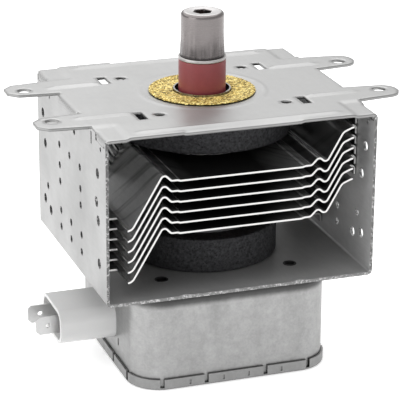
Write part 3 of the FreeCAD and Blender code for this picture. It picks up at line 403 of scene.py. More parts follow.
def yoke_sheet(colours):
    """Plated sheet with a dull inner side and floor, and dark sheared edges with bright nibs."""
    look = Finish("yoke_sheet", colours.yoke_zinc, metallic=1.0)
    grain = look.group("sheet_grain")
    edge = look.mask("cut_edge", sharpness=0.6)
    upward = look.group("facing")["Upward"]
    inner_side = look.mask("inner_side")
    patches = look.group("sheet_grain", smudge_scale=22.0)
    nibs = look.group("sheet_grain", spangle_scale=900.0, streak_scale=1600.0)
    sill = look.mask("height_band", low=0.0375, high=0.0355)
    look.tint(
        (grain["Smudge"], 0.6, 0.84),
        # Painted light: faces turned to the middle take a lighter copy of the zinc.
        (inner_side, 1.0, colours.inside_zinc_painted_tone),
        # Painted shade: upward faces, the floor inside, are darker than the inner side.
        (upward, 0.85, scaled(colours.inside_zinc_painted_tone, 0.72)),
        (grain["Grain"], 0.3, 0.62),
        (edge, 0.95, 0.3),
        (look.math("MULTIPLY", edge, sill), 0.6, 0.62),
        (look.math("MULTIPLY", edge, look.ramp(nibs["Grain"], 0.5, 0.8)), 0.8, 1.6),
        # Painted shade in the gaps and corners of the yoke.
        (look.mask("crevice_shade", reach=0.002), 0.55, 0.25))
    dull = look.math("MAXIMUM", inner_side, upward)
    look.feed("Metallic", look.math("MULTIPLY_ADD", dull, -0.5, 1.0))
    look.roughness(patches["Smudge"], 0.42, 0.56)
    look.bump(grain["Height"], 0.12, 0.05)


def drawn_box(colours):
    look = Finish("box_steel", colours.box_zinc, metallic=1.0)
    marks = look.group("drawn_marks", scale=230.0, stretch=0.22)
    mottle = look.group("sheet_grain", smudge_scale=420.0, streak_scale=1500.0)
    rim = look.mask("height_band", low=0.0041, high=0.0037, ragged=0.0)
    # Painted shadow: a dark band on the box's upper shoulder, under the yoke's overhang.
    shoulder = look.mask("height_band", low=0.0284, high=0.0306, ragged=0.0008)
    look.tint(
        (marks["Mask"], 0.4, 0.78),
        (mottle["Smudge"], 0.45, 1.2),
        (mottle["Grain"], 0.5, 0.58),
        (rim, 0.55, 0.6),
        # Painted shadow under the yoke's overhang.
        (shoulder, 0.9, 0.18),
        # Painted shade in the gaps round the lid's tabs.
        (look.mask("crevice_shade", reach=0.0009), 0.85, 0.12))
    look.roughness(marks["Mask"], 0.36, 0.52)
    look.bump(marks["Height"], 0.15, 0.08)


def fin_sheet(colours):
    look = Finish("fin_aluminium", colours.aluminium, metallic=1.0, specular_ior_level=0.0)
    grain = look.group("sheet_grain", streak_scale=1400.0)
    flat = look.mask("level_face")
    look.tint(
        (grain["Grain"], 0.5, 0.75),
        # Painted reflection: soft dark bands across the sloping parts.
        (look.mask("fin_reflection_bands"), 0.8, 0.3),
        # Painted shade: fin faces turned towards the middle are darkened.
        (look.mask("inner_side"), 0.8, 0.14),
        # Painted dark reflection: the flat middle of each fin is near black and not metallic.
        (flat, 1.0, colours.fin_flat_shade),
        (look.mask("cut_edge"), 1.0, colours.fin_edge))
    look.feed("Metallic", look.math("SUBTRACT", 1.0, flat))
    look.roughness(grain["Grain"], 0.3, 0.45)
    look.bump(grain["Height"], 0.1, 0.04)


def magnet_ferrite(colours):
    look = Finish("magnet_ferrite", colours.ferrite, roughness=0.75, specular_ior_level=0.06)
    pits = look.group("pitting", grain_scale=1000.0, pit_scale=800.0)
    look.tint((pits["Grain"], 0.9, 4.6), (pits["Pits"], 0.6, 0.4))
    look.roughness(pits["Grain"], 0.6, 0.9)
    look.bump(pits["Height"], 0.8, 0.35)


def cap_nickel(colours):
    """Turned nickel, with darker upright drawing marks in the lower half and a bright top."""
    look = Finish("cap_nickel", colours.nickel, metallic=1.0)
    lower = look.mask("height_band", low=0.1122, high=0.1062, ragged=0.005)
    fine = look.math("MULTIPLY", lower, look.mask("drawn_marks", scale=900.0, stretch=0.05))
    dark = look.math("MULTIPLY", lower, look.mask("drawn_marks", scale=420.0, stretch=0.12))
    turning = look.group("drawn_marks", scale=60.0, stretch=45.0)
    look.tint(
        (look.math("MULTIPLY_ADD", fine, 0.7, 0.15), 1.0, 0.62),
        (turning["Mask"], 0.4, 1.3),
        (look.group("sheet_grain", smudge_scale=160.0)["Smudge"], 0.3, 1.25),
        (dark, 0.85, 0.2),
        # Painted light: level faces, the top, are made much brighter.
        (look.mask("level_face"), 0.95, (0.7, 0.685, 0.68)),
        # Painted shade: near black in the hexagon hole and other gaps.
        (look.mask("crevice_shade", reach=0.003), 1.0, (0.01, 0.01, 0.01)))
    look.roughness(turning["Mask"], 0.22, 0.34)
    look.bump(turning["Height"], 0.3, 0.05)


def bright_plate(colours):
    look = Finish("sleeve_steel", colours.bright, metallic=1.0)
    grain = look.group("sheet_grain")
    look.tint(
        (grain["Grain"], 0.4, 0.8),
        # Painted shade: near black in gaps and corners.
        (look.mask("crevice_shade", reach=0.004), 1.0, (0.02, 0.02, 0.02)))
    look.roughness(grain["Smudge"], 0.22, 0.34)
    look.bump(grain["Height"], 0.08, 0.03)


def glazed_rose(colours):
    look = Finish("pink_alumina", colours.rose, roughness=0.4, coat_weight=0.1, coat_roughness=0.25)
    pits = look.group("pitting", grain_scale=900.0, pit_scale=1500.0)
    look.tint(
        (look.mask("drawn_marks", scale=240.0, stretch=0.5), 0.5, 0.8),
        (pits["Grain"], 0.35, 1.3))
    look.roughness(pits["Grain"], 0.32, 0.5)
    look.bump(pits["Height"], 0.15, 0.03)


def white_ceramic(colours):
    look = Finish("white_alumina", colours.alumina, roughness=0.5)
    pits = look.group("pitting", grain_scale=1200.0)
    look.tint((pits["Grain"], 0.4, 0.9))
    look.roughness(pits["Grain"], 0.4, 0.6)
    look.bump(pits["Height"], 0.15, 0.04)


def brass_wire(colours):
    look = Finish("gasket_mesh", colours.brass, metallic=1.0)
    grain = look.group("sheet_grain", spangle_scale=700.0, smudge_scale=500.0)
    flecks = look.group("pitting", grain_scale=1900.0, pit_scale=1600.0)["Flecks"]
    look.tint(
        (grain["Smudge"], 0.4, (0.93, 0.74, 0.26)),
        (grain["Grain"], 0.4, 0.5),
        # Painted highlight: bright flecks stand for glints on single wires.
        (look.ramp(flecks, 0.6, 0.7), 0.8, (1.0, 0.84, 0.34)),
        # Painted shade: dark flecks stand for the gaps between wires.
        (look.ramp(flecks, 0.34, 0.26), 0.85, 0.15))
    look.roughness(grain["Grain"], 0.25, 0.42)
    look.bump(grain["Height"], 0.1, 0.02)


def gasket_shade(colours):
    look = Finish("gasket_shade", colours.brass, metallic=0.6)
    pits = look.group("pitting", grain_scale=1700.0, pit_scale=1700.0)
    look.tint(
        # Painted highlight: bright flecks stand for glints on the packed wires.
        (look.ramp(pits["Flecks"], 0.55, 0.66), 0.9, (1.0, 0.86, 0.36)),
        # Painted shade: dark flecks and pits stand for the gaps between wires.
        (look.ramp(pits["Flecks"], 0.34, 0.28), 0.85, 0.22),
        (pits["Pits"], 0.25, 0.1))
    look.roughness(pits["Grain"], 0.4, 0.7)
    look.bump(pits["Height"], 0.9, 0.4)


def milky_plastic(colours):
    look = Finish(
        "terminal_plastic", colours.plastic, roughness=0.4, subsurface_weight=0.2, subsurface_scale=0.002,
        subsurface_radius=(1.0, 0.95, 0.9))
    pits = look.group("pitting", grain_scale=1500.0, pit_scale=400.0)
    look.tint((look.group("sheet_grain", smudge_scale=120.0)["Smudge"], 0.35, 0.93))
    look.roughness(pits["Grain"], 0.34, 0.48)
    look.bump(pits["Height"], 0.06, 0.03)


def tinned_blade(colours):
    look = Finish("terminal_metal", colours.tin, metallic=1.0)
    grain = look.group("sheet_grain", spangle_scale=500.0, smudge_scale=220.0)
    look.tint((grain["Grain"], 0.5, 0.75), (grain["Smudge"], 0.4, 1.2))
    look.roughness(grain["Smudge"], 0.34, 0.5)
    look.bump(grain["Height"], 0.12, 0.03)


def plain_metal(name, colour, roughness):
    """Metal of the pieces inside: drawing marks and a dull film."""
    look = Finish(name, colour, metallic=1.0)
    marks = look.group("drawn_marks", scale=700.0, stretch=0.2)
    grain = look.group("sheet_grain")
    look.tint((marks["Mask"], 0.4, 0.7), (grain["Smudge"], 0.3, 0.85))
    look.roughness(grain["Grain"], roughness - 0.08, roughness + 0.1)
    look.bump(marks["Height"], 0.1, 0.03)


def floor_finish(colours):
    look = Finish(
        "studio_floor", colours.floor, roughness=0.9, emission_strength=0.45,
        emission_color=(1.0, 1.0, 1.0, 1.0))
    pits = look.group("pitting", grain_scale=300.0, pit_scale=90.0)
    look.tint((pits["Grain"], 0.3, 0.985))
    look.bump(pits["Height"], 0.02, 0.05)


# Mesh making
def new_object(name, data):
    item = bpy.data.objects.new(name, data)
    bpy.context.scene.collection.objects.link(item)
    return item


def mesh_of(work, name):
    mesh = bpy.data.meshes.new(name)
    work.to_mesh(mesh)
    work.free()
    return mesh


def join_rows(work, rows):
    """Faces between each row of points and the next; each row closes on itself."""
    for row, following in zip(rows, rows[1:]):
        for index in range(len(row)):
            after = (index + 1) % len(row)
            work.faces.new((row[index], following[index], following[after], row[after]))


def around(radius, turn):
    """A flat place at one radius and direction."""
    return radius * math.cos(turn), radius * math.sin(turn)


def new_piece(name, mesh, slot):
    """Links a mesh as a piece that rides on the body and takes the slot's finish."""
    piece = new_object(name, mesh)
    mesh.materials.clear()
    mesh.materials.append(bpy.data.materials[slot])
    mesh.shade_smooth()
    mesh.set_sharp_from_angle(angle=math.radians(35))
    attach(piece, BODY)
    return piece


def apply_modifiers(piece):
    """Bakes a piece's modifiers into its mesh."""
    graph = bpy.context.evaluated_depsgraph_get()
    mesh = bpy.data.meshes.new_from_object(piece.evaluated_get(graph))
    piece.modifiers.clear()
    piece.data = mesh


def smooth_step(value, low, high):
    """0 below low, 1 above high, and an eased change between them."""
    share = min(1.0, max(0.0, (value - low) / (high - low)))
    return share * share * (3.0 - 2.0 * share)


def ridge(value, half_width):
    """1 on the middle line, easing to 0 at half_width."""
    return 1.0 - smooth_step(abs(value), half_width * 0.25, half_width)


# The pressed mounting plate
def arc_points(centre, radius, start, end, count):
    return [
        Vector((centre[0] + radius * math.cos(turn), centre[1] + radius * math.sin(turn)))
        for turn in (start + (end - start) * step / count for step in range(count + 1))]


def ear_outline(size, x_sign):
    """Outline of one back ear from its inner root to its outer root, in the flat sheet."""
    root, tip = size.deck_half_width, CAD_HIGH[0]
    inner, outer = size.ear_inner, size.ear_outer
    inner_tip, outer_tip = inner + size.ear_taper, outer - size.ear_taper
    points = [Vector((root, inner))]
    if x_sign > 0:
        radius = size.ear_end_radius
        points += arc_points((tip - radius, inner_tip + radius), radius, -math.pi / 2, 0.0, 8)
        points += arc_points((tip - radius, outer_tip - radius), radius, 0.0, math.pi / 2, 8)
    else:
        clip = size.ear_clip
        points += [
            Vector((tip - clip, inner_tip)), Vector((tip, inner_tip + clip)),
            Vector((tip, outer_tip - clip)), Vector((tip - clip, outer_tip))]
    points.append(Vector((root, outer)))
    return [Vector((point.x * x_sign, point.y)) for point in points]


def plate_outline(size):
    """The flat blank: deck, ears, side flanges and corner tabs, anticlockwise."""
    width, depth, fold = size.deck_half_width, size.deck_half_depth, size.fold_radius
    flange = width + size.sheet + size.flange_height - fold * (2.0 - math.pi / 2)
    half_length, flange_slope = size.flange_half_length, 0.6 * MM
    tab, tab_start, tab_end, tab_slope = width + 2.2 * MM, 31.4 * MM, 40.2 * MM, 0.8 * MM
    outline = []
    for x_sign in (1, -1):
        back = [Vector((flange * x_sign, half_length)), Vector((width * x_sign, half_length + flange_slope))]
        back += ear_outline(size, x_sign)
        back += [Vector((x * x_sign, y)) for x, y in (
            (width, tab_start), (tab, tab_start + tab_slope), (tab, tab_end - tab_slope),
            (width, tab_end), (width, depth))]
        side = [Vector((point.x, -point.y)) for point in reversed(back)] + back
        outline += side if x_sign > 0 else side[::-1]
    return outline


def plate_holes(size):
    """Closed loops of points round each opening of the deck."""
    def round_hole(x, y, radius, count):
        return arc_points((x, y), radius, 0, 2 * math.pi, count)[:-1]

    mount = next(item for item in frame["record"]["mounts"] if item["name"] == "ear_holes")
    ear_x, ear_y = (mount["dims"][key] * MM / 2 for key in ("spacing_x_mm", "spacing_y_mm"))
    small_x, small_y, small_radius = 22.2 * MM, 21.5 * MM, 1.85 * MM
    slot_x, slot_y, slot_half = 28.6 * MM, 21.0 * MM, Vector((1.55 * MM, 4.1 * MM))
    loops = [round_hole(0, 0, size.opening_radius, 72)]
    for x_sign in (-1, 1):
        for y_sign in (-1, 1):
            loops.append(round_hole(ear_x * x_sign, ear_y * y_sign, size.ear_hole_radius, 28))
            loops.append(round_hole(small_x * x_sign, small_y * y_sign, small_radius, 24))
            middle = Vector((slot_x * x_sign, slot_y * y_sign))
            loops.append([
                middle + Vector((slot_half.x * x, slot_half.y * y))
                for x, y in ((-1, -1), (1, -1), (1, 1), (-1, 1))])
    return loops


def inside(point, loop):
    """Whether a flat point lies inside a closed loop."""
    crossings = False
    for start, end in zip(loop, loop[1:] + loop[:1]):
        if (start.y > point.y) != (end.y > point.y):
            across = start.x + (point.y - start.y) / (end.y - start.y) * (end.x - start.x)
            if point.x < across:
                crossings = not crossings
    return crossings


def divided(loop, step):
    """A loop whose long sides have points about a step apart."""
    points = []
    for start, end in zip(loop, loop[1:] + loop[:1]):
        count = max(1, round((end - start).length / step))
        points += [start.lerp(end, part / count) for part in range(count)]
    return points


def pressed_height(size, x, y):
    """How far the press moves the sheet up or down at one place of the deck."""
    across, deep, from_middle = abs(x), abs(y), math.hypot(x, y)
    bead, width = size.bead_height, size.bead_width
    ear_line = (size.ear_inner + size.ear_outer) / 2 - 1.45 * MM
    ear_bead_start, ear_bead_end = (30.0 * MM, 33.0 * MM), (47.0 * MM, 51.0 * MM)
    edge_line, edge_bead_end = 37.4 * MM, (32.5 * MM, 36.5 * MM)
    corner_front, corner_side = (26.6 * MM, 27.6 * MM), (38.2 * MM, 39.8 * MM)
    lip_end, lip_edge, lip_drop = (19.6 * MM, 20.6 * MM), (39.6 * MM, 41.3 * MM), 0.45 * MM
    seat_edge, seat_depth = (18.5 * MM, 19.1 * MM), 0.14 * MM
    ring_line, ring_half_width, ring_height = 21.3 * MM, 0.9 * MM, 0.2 * MM
    wave_height, wave_scale = 0.05 * MM, 45.0

    ends = smooth_step(across, *ear_bead_start) * (1.0 - smooth_step(across, *ear_bead_end))
    height = bead * ridge(deep - ear_line, width) * ends
    height += bead * 0.9 * ridge(deep - edge_line, width * 0.8) * (1.0 - smooth_step(across, *edge_bead_end))
    height -= size.corner_step * (smooth_step(deep, *corner_front) * smooth_step(across, *corner_side))
    height -= lip_drop * ((1.0 - smooth_step(across, *lip_end)) * smooth_step(deep, *lip_edge))
    height -= seat_depth * (1.0 - smooth_step(from_middle, *seat_edge))
    height += ring_height * ridge(from_middle - ring_line, ring_half_width)
    height += wave_height * noise.noise(Vector((x, y, 0.0)) * wave_scale)
    return height


def folded(size, x, y, top):
    """Places a point of the flat blank in space, round the folds at the sides."""
    flange_end, tab_start = size.flange_half_length + 0.7 * MM, 30.0 * MM
    fold, side, across = size.fold_radius, math.copysign(1.0, x), abs(x)
    start = size.deck_half_width - fold
    if abs(y) <= flange_end:
        start = size.deck_half_width + size.sheet - fold
    elif abs(y) <= tab_start:
        start = across
    if across <= start:
        return Vector((x, y, top + pressed_height(size, x, y)))
    level = top + pressed_height(size, start * side, y)
    arc = fold * math.pi / 2
    along = across - start
    if along < arc:
        turn = along / fold
        return Vector((side * (start + fold * math.sin(turn)), y, level - fold * (1.0 - math.cos(turn))))
    return Vector((side * (start + fold), y, level - fold - (along - arc)))


def pressed_plate(size):
    """Triangulates the blank, presses and folds it, and gives it the sheet's thickness."""
    outline = divided(plate_outline(size), size.mesh_step)
    holes = [divided(loop, size.mesh_step) for loop in plate_holes(size)]
    points, edges = [], []
    for loop in [outline] + holes:
        first = len(points)
        points += loop
        edges += [(first + index, first + (index + 1) % len(loop)) for index in range(len(loop))]
    step = size.mesh_step
    columns = int(2 * CAD_HIGH[0] / step) + 2
    rows = int(2 * size.deck_half_depth / step) + 2
    crowd = {(round(point.x / step * 2), round(point.y / step * 2)) for point in points}
    for row in range(rows):
        for column in range(columns):
            shift = 0.5 * (row % 2)
            point = Vector((-CAD_HIGH[0] + (column + shift) * step, -size.deck_half_depth + row * step))
            key = (round(point.x / step * 2), round(point.y / step * 2))
            near = any((key[0] + x, key[1] + y) in crowd for x in (-1, 0, 1) for y in (-1, 0, 1))
            if not near and inside(point, outline):
                points.append(point)
    faces = [list(range(len(outline)))]
    inside_only, tolerance = 1, 1e-7
    flat = geometry.delaunay_2d_cdt(points, edges, faces, inside_only, tolerance)
    corners, triangles = flat[0], flat[2]
    kept = []
    for triangle in triangles:
        middle = sum((corners[index] for index in triangle), Vector((0, 0))) / len(triangle)
        if not any(inside(middle, loop) for loop in holes):
            kept.append(triangle)
    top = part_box("top_plate")[1][2] - size.bead_height
    mesh = bpy.data.meshes.new("pressed_plate")
    mesh.from_pydata([folded(size, corner.x, corner.y, top) for corner in corners], [], kept)
    work = bmesh.new()
    work.from_mesh(mesh)
    loose = [vertex for vertex in work.verts if not vertex.link_faces]
    bmesh.ops.delete(work, geom=loose, context="VERTS")
    bmesh.ops.recalc_face_normals(work, faces=work.faces)
    if sum(face.normal.z * face.calc_area() for face in work.faces) < 0:
        bmesh.ops.reverse_faces(work, faces=work.faces)
    work.to_mesh(mesh)
    work.free()
    return mesh


def keep_inside(piece):
    """Holds a piece's points to the part's own box, where a bevel or a press mark just passes it."""
    for vertex in piece.data.vertices:
        vertex.co = [min(high, max(low, value)) for low, value, high in zip(CAD_LOW, vertex.co, CAD_HIGH)]


def finish_of(node):
    """The finish of a node is that of its slot, but the yoke has its own."""
    return bpy.data.materials["yoke_sheet" if node == "yoke" else SLOTS[node]]


class MAGNETRON_OT_finishes(bpy.types.Operator):
    """Makes every finish and puts it on the pieces of the model"""

    bl_idname = "magnetron.finishes"
    bl_label = "Finishes"

    def execute(self, context):
        colours = context.scene.magnetron_colours
        for make in (sheet_grain_group, drawn_marks_group, pitting_group, cut_edge_group, inner_side_group,
                     crevice_shade_group, height_band_group, facing_group, level_face_group, fin_reflection_bands_group):
            make()
        for make in (plated_sheet, yoke_sheet, drawn_box, fin_sheet, magnet_ferrite, cap_nickel, bright_plate,
                     glazed_rose, white_ceramic, brass_wire, gasket_shade, milky_plastic, tinned_blade,
                     floor_finish):
            make(colours)
        # Painted shade: the anode's copper is darkened to a quarter, for the shade between the fins.
        plain_metal("anode_copper", scaled(colours.copper, 0.25), 0.5)
        plain_metal("choke_copper", scaled(colours.copper, 0.85), 0.3)
        plain_metal("pole_iron", (0.45, 0.45, 0.46), 0.4)
        plain_metal("cathode_metal", (0.35, 0.35, 0.36), 0.45)
        plain_metal("choke_ferrite", (0.06, 0.06, 0.065), 0.6)
        for node in SLOTS:
            for place in frame["nodes"][node].material_slots:
                place.material = finish_of(node)
        return {"FINISHED"}


class MAGNETRON_OT_plate(bpy.types.Operator):
    """Presses the mounting plate with its beads, folds and ears"""

    bl_idname = "magnetron.plate"
    bl_label = "Mounting plate"

    def execute(self, context):
        size = context.scene.magnetron_plate
        piece = new_piece("pressed_plate", pressed_plate(size), "zinc_plated_steel")
        thick = piece.modifiers.new("sheet", "SOLIDIFY")
        thick.thickness = size.sheet
        thick.offset = -1.0
        apply_modifiers(piece)
        keep_inside(piece)
        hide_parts("top_plate")
        return {"FINISHED"}


def eased_copy(node, name, width):
    """A copy of a CAD node whose hard edges are broken, as on the real piece; it replaces the node."""
    mesh = frame["nodes"][node].data.copy()
    work = bmesh.new()
    work.from_mesh(mesh)
    bmesh.ops.remove_doubles(work, verts=work.verts, dist=1e-6)
    bmesh.ops.dissolve_limit(
        work, angle_limit=math.radians(0.4), verts=work.verts, edges=work.edges)
    work.to_mesh(mesh)
    work.free()
    piece = new_piece(name, mesh, SLOTS[node])
    mesh.materials[0] = finish_of(node)
    edge = piece.modifiers.new("edge", "BEVEL")
    edge.width = width * MM
    edge.segments = 2
    edge.limit_method = "ANGLE"
    edge.angle_limit = math.radians(40)
    edge.harden_normals = True
    apply_modifiers(piece)
    keep_inside(piece)
    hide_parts(node)
    return piece


def burr_rise(x):
    """Height of the shearing burr along the yoke's open lower edges, with the two stubs of the strip."""
    stub_places, stub_width = (-19.8 * MM, 20.4 * MM), 1.5 * MM
    stubs = sum(math.exp(-((x - place) / stub_width) ** 2) for place in stub_places)
    coarse = abs(noise.noise(Vector((x * 900.0, 0.3, 0.7))))
    fine = abs(noise.noise(Vector((x * 2600.0, 1.3, 0.2))))
    return (0.04 + 0.22 * (coarse + 0.6 * fine) + 0.42 * stubs) * MM


def add_burrs(piece):
    """Adds the rough burr on the upper side of the yoke's front and back edges."""
    low = Vector(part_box("yoke")[0])
    floor = low.z + 1.0 * MM
    half_length, steps = 46.4, 380
    width, crest, sunk_front, sunk_back = 0.45 * MM, 0.2 * MM, 0.5 * MM, 0.1 * MM
    work = bmesh.new()
    work.from_mesh(piece.data)
    for side in (1, -1):
        rows = []
        for step in range(steps + 1):
            x = side * (-half_length + 2 * half_length * step / steps) * MM
            rise = burr_rise(x * side)
            lean = 0.05 * MM * (1.0 + noise.noise(Vector((x * 1500.0, 2.0, side))))
            front, back = side * (low.y + lean), side * (low.y + width + lean)
            rows.append([
                work.verts.new(place) for place in (
                    (x, front, floor - sunk_front), (x, front, floor + rise * 0.8),
                    (x, front + side * crest, floor + rise), (x, back, floor - sunk_back))])
        join_rows(work, rows)
        work.faces.new(list(reversed(rows[0])))
        work.faces.new(rows[-1])
    work.to_mesh(piece.data)
    work.free()


class MAGNETRON_OT_housing(bpy.types.Operator):
    """Breaks the hard edges of the yoke, the filter box, its lid, the terminals and the magnets"""

    bl_idname = "magnetron.housing"
    bl_label = "Yoke and housing"

    def execute(self, context):
        add_burrs(eased_copy("yoke", "folded_yoke", 0.14))
        for node, name, width in (
                ("filter_box", "drawn_box", 0.1), ("filter_lid", "crimped_lid", 0.1),
                ("capacitor_housing", "terminal_housing", 0.3),
                ("blade_terminal_1", "blade_1", 0.1), ("blade_terminal_2", "blade_2", 0.1),
                ("antenna_insulator", "rose_insulator", 0.25), ("antenna_seal_ring", "polished_ring", 0.35),
                ("upper_magnet", "sintered_upper_magnet", 0.5),
                ("lower_magnet", "sintered_lower_magnet", 0.5)):
            eased_copy(node, name, width)
        return {"FINISHED"}


def hexagon_reach(turn, inscribed):
    """Distance from the middle to a hexagon's side in one direction, points left and right."""
    part = math.radians(60)
    return inscribed / math.cos((turn + part) % part - part / 2)


def cap_dent(share, turn):
    """How far the cap's side stands off its round form: upright flutes and dents in its lower half."""
    low = 1.0 - smooth_step(share, 0.25, 0.75)
    flute = 0.07 * math.cos(17 * turn + 0.8 * math.sin(3 * turn)) + 0.05 * math.cos(31 * turn + 1.3)
    dent = noise.noise(Vector((*around(4.0, turn), share * 1.5)))
    return (flute * low - 0.10 * (0.3 + low) * abs(dent)) * MM


def add_ring(work, reach, height, count=192):
    """A closed ring of points at one height; reach gives the radius in each direction."""
    turns = (2 * math.pi * index / count for index in range(count))
    return [work.verts.new((*around(reach(turn), turn), height)) for turn in turns]


def cap_profile(skirt, base, top):
    """The cap's side from its foot to the edge of its top: (radius, height, share of the dents)."""
    body, shoulder, foot = 7.33 * MM, 1.3 * MM, 0.5 * MM
    side_steps, shoulder_steps = 28, 8
    profile = [(skirt - 0.08 * MM, base, 0.3), (skirt, base + foot / 2, 0.3)]
    for step in range(1, side_steps + 1):
        share = step / side_steps
        flare = (skirt - body) * (1.0 - smooth_step(share, 0.0, 0.55))
        profile.append((body + flare, base + foot + (top - shoulder - base - foot) * share, 1.0))
    for step in range(1, shoulder_steps + 1):
        turn = math.pi / 2 * step / shoulder_steps
        profile.append((
            body - shoulder + shoulder * math.cos(turn), top - shoulder + shoulder * math.sin(turn),
            0.6 * (1 - step / shoulder_steps)))
    profile.append((body - shoulder - 0.8 * MM, top - 0.05 * MM, 0.0))
    return profile


class MAGNETRON_OT_cap(bpy.types.Operator):
    """Draws the antenna cap with its flutes, round shoulder and hexagon hole"""

    bl_idname = "magnetron.cap"
    bl_label = "Antenna cap"

    def execute(self, context):
        low, high = (Vector(corner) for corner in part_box("antenna_cap"))
        wall, hole = 0.5 * MM, 2.8 * MM
        profile = cap_profile(high.x, low.z, high.z)
        rim = profile[-1][0]
        work = bmesh.new()
        rings = [add_ring(work, lambda turn: high.x - wall, low.z)]
        for radius, height, dented in profile:
            share = (height - low.z) / (high.z - low.z)
            rings.append(add_ring(work, lambda turn: radius + cap_dent(share, turn) * dented, height))
        for share, drop in ((0.5, 0.12), (0.92, 0.2), (1.0, 0.42), (1.0, 1.6), (0.4, 1.6)):
            rings.append(add_ring(
                work, lambda turn: rim + (hexagon_reach(turn, hole) - rim) * share, high.z - drop * MM))
        for ring, following in zip(rings, rings[1:]):
            for index in range(len(ring)):
                after = (index + 1) % len(ring)
                work.faces.new((ring[index], ring[after], following[after], following[index]))
        piece = new_piece("fluted_cap", mesh_of(work, "fluted_cap"), "cap_nickel")
        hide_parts("antenna_cap")
        return {"FINISHED"}


class MAGNETRON_OT_gasket(bpy.types.Operator):
    """Knits the wire gasket round the antenna"""

    bl_idname = "magnetron.gasket"
    bl_label = "Wire gasket"

    def execute(self, context):
        size = context.scene.magnetron_gasket
        noise.seed_set(KNIT_SEED)
        low, high = (Vector(corner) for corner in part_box("rf_gasket"))
        outer, inner = high.x, high.x - 8.4 * MM
        side_room, level_room = 0.1 * MM, 0.25 * MM
        felt_outer_room, felt_foot, felt_cover = 0.15 * MM, 0.05 * MM, 0.7 * MM
        curve = bpy.data.curves.new("gasket_wire", "CURVE")
        curve.dimensions = "3D"
        curve.bevel_depth = size.wire
        curve.bevel_resolution = 0
        section = (
            (inner + outer) / 2, (low.z + high.z) / 2 - level_room,
            (outer - inner) / 2 - size.wire - side_room, (high.z - low.z) / 2 - size.wire - level_room)
        for direction in (1, -1):
            for strand in range(size.strands):
                first_turn = 2 * math.pi * strand / size.strands
                add_mesh_strand(curve, size, section, first_turn, direction, strand * 5.3 + direction)
        knit = new_object("gasket_wire", curve)
        felt = new_object("gasket_felt", felt_ring(
            inner + side_room, outer - felt_outer_room, low.z + felt_foot, high.z - felt_cover))
        felt.data.materials.append(bpy.data.materials["gasket_shade"])
        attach(felt, BODY)
        graph = context.evaluated_depsgraph_get()
        mesh = bpy.data.meshes.new_from_object(knit.evaluated_get(graph))
        bpy.data.objects.remove(knit)
        piece = new_piece("gasket_knit", mesh, "gasket_mesh")
        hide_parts("rf_gasket")
        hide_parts("rf_gasket")
        return {"FINISHED"}


def squared_off(share, power):
    """A sine or cosine drawn out towards 1 and -1, for a section with flat sides."""
    return math.copysign(abs(share) ** power, share)


def felt_ring(inner, outer, low, high):
    """The packed inner wires of the gasket, as one rough ring."""
    steps, sides, roughness, grain = 180, 24, 0.12 * MM, 1400.0
    middle, half = (inner + outer) / 2, (outer - inner) / 2
    profile = []
    for step in range(sides):
        turn = 2 * math.pi * step / sides
        lift = (high - low) * 0.5 * squared_off(math.sin(turn), 0.6)
        profile.append((middle + half * squared_off(math.cos(turn), 0.5), (low + high) / 2 + lift))
    work = bmesh.new()
    rings = []
    for index in range(steps):
        ring = []
        for radius, level in profile:
            x, y = around(radius, 2 * math.pi * index / steps)
            rough = roughness * noise.noise(Vector((x, y, level)) * grain)
            ring.append(work.verts.new((x, y, level + rough)))
        rings.append(ring)
    join_rows(work, rings + rings[:1])
    bmesh.ops.recalc_face_normals(work, faces=work.faces)
    mesh = mesh_of(work, "gasket_felt")
    mesh.shade_smooth()
    return mesh


def add_mesh_strand(curve, size, section, first_turn, direction, seed):
    """One wire of the knitted tube, winding round the flattened ring and over its neighbours."""
    middle, level, half, rise = section
    steps, crimps, crimp_size, wobble_size = 680, 120, 0.16, 0.16
    spline = curve.splines.new("POLY")
    spline.points.add(steps - 1)
    spline.use_cyclic_u = True
    for index in range(steps):
        round_turn = 2 * math.pi * index / steps
        turn = first_turn + direction * size.loops * round_turn
        reach, lift = squared_off(math.cos(turn), 0.8), squared_off(math.sin(turn), 0.45)
        over = 1.0 - 0.5 * size.wire / rise * (1.0 + direction * math.cos(size.strands * round_turn + seed))
        place = Vector((*around(12.0, round_turn), seed + 3.0 * math.cos(turn)))
        wobble = noise.noise_vector(place) * wobble_size * MM
        crimp = math.sin(2 * math.pi * crimps * index / steps + seed) * crimp_size * MM
        radius = middle + half * reach * over + wobble.x
        round_turn += (wobble.y + crimp) / middle
        height = level + rise * lift * over + wobble.z * 0.4 - abs(crimp)
        height = min(level + rise, max(level - rise, height))
        spline.points[index].co = (*around(radius, round_turn), height, 1.0)


class MAGNETRON_OT_studio(bpy.types.Operator):
    """Sets the floor, the soft light and the camera"""

    bl_idname = "magnetron.studio"
    bl_label = "Studio"

    def execute(self, context):
        studio = context.scene.magnetron_studio
        make_floor()
        make_lights(studio)
        make_camera(studio)
        context.scene.view_settings.view_transform = "Standard"
        return {"FINISHED"}


def make_floor():
    """A wide floor just under the lid, so that the two never share a plane."""
    half_size, gap = 6.0, 0.1 * MM
    work = bmesh.new()
    bmesh.ops.create_grid(work, x_segments=8, y_segments=8, size=half_size)
    floor = new_object("studio_floor", mesh_of(work, "studio_floor"))
    floor.location.z = CAD_LOW[2] - gap
    floor.data.materials.append(bpy.data.materials["studio_floor"])


def make_light(name, power, size, place, aim):
    data = bpy.data.lights.new(name, "AREA")
    data.energy = power
    data.shape = "RECTANGLE"
    data.size, data.size_y = size
    lamp = new_object(name, data)
    lamp.location = place
    lamp.rotation_euler = (Vector(aim) - Vector(place)).to_track_quat("-Z", "Y").to_euler()


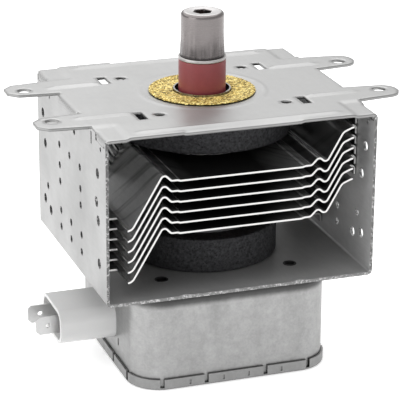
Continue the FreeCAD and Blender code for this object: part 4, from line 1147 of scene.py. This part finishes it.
def make_lights(studio):
    """A wide soft light above, a smaller one at the left and an even white sky."""
    middle = (0.0, 0.0, 0.05)
    key_size, key_place = (1.8, 1.8), (-0.1, 0.25, 0.9)
    side_size, side_place = (0.6, 0.5), (-0.8, -0.2, 0.3)
    make_light("key", studio.key_power, key_size, key_place, middle)
    make_light("side", studio.side_power, side_size, side_place, middle)
    world = bpy.data.worlds.new("studio_sky")
    world.use_nodes = True
    sky = world.node_tree.nodes["Background"].inputs
    sky["Strength"].default_value = studio.sky
    sky["Color"].default_value = (1.0, 1.0, 1.0, 1.0)
    bpy.context.scene.world = world


def make_camera(studio):
    """The camera of the main view, aimed at one point of the part."""
    data = bpy.data.cameras.new("camera")
    data.lens = studio.lens
    data.clip_start, data.clip_end = 0.01, 50.0
    camera = new_object("camera", data)
    turn = (Matrix.Rotation(-studio.yaw, 4, "Z") @ Matrix.Rotation(math.pi / 2 - studio.pitch, 4, "X")
            @ Matrix.Rotation(studio.roll, 4, "Z"))
    back = turn @ Vector((0.0, 0.0, studio.distance))
    camera.matrix_world = Matrix.Translation(Vector(studio.aim) + back) @ turn
    bpy.context.scene.camera = camera


class MAGNETRON_PT_panel(bpy.types.Panel):
    """Lists the making steps and their sizes"""

    bl_idname = "MAGNETRON_PT_panel"
    bl_label = "Magnetron"
    bl_space_type = "VIEW_3D"
    bl_region_type = "UI"
    bl_category = "Magnetron"

    def draw(self, context):
        for step in STEPS:
            self.layout.operator(step.bl_idname)
        for group, kind in GROUPS.items():
            column = self.layout.column(heading=kind.__doc__)
            for name in kind.__annotations__:
                column.prop(getattr(context.scene, group), name)


GROUPS = {
    "magnetron_plate": PressedSheetSizes,
    "magnetron_gasket": GasketSizes,
    "magnetron_colours": FinishColours,
    "magnetron_studio": StudioSettings,
}
STEPS = [
    MAGNETRON_OT_finishes, MAGNETRON_OT_plate, MAGNETRON_OT_housing, MAGNETRON_OT_cap,
    MAGNETRON_OT_gasket, MAGNETRON_OT_studio]


def register():
    for kind in (*GROUPS.values(), *STEPS, MAGNETRON_PT_panel):
        bpy.utils.register_class(kind)
    for name, kind in GROUPS.items():
        setattr(bpy.types.Scene, name, bpy.props.PointerProperty(type=kind))


def unregister():
    for name in GROUPS:
        delattr(bpy.types.Scene, name)
    for kind in (MAGNETRON_PT_panel, *reversed(STEPS), *reversed(GROUPS.values())):
        bpy.utils.unregister_class(kind)


def main():
    register()
    for step in STEPS:
        getattr(bpy.ops.magnetron, step.bl_idname.split(".")[1])()


if __name__ == "__main__":
    main()
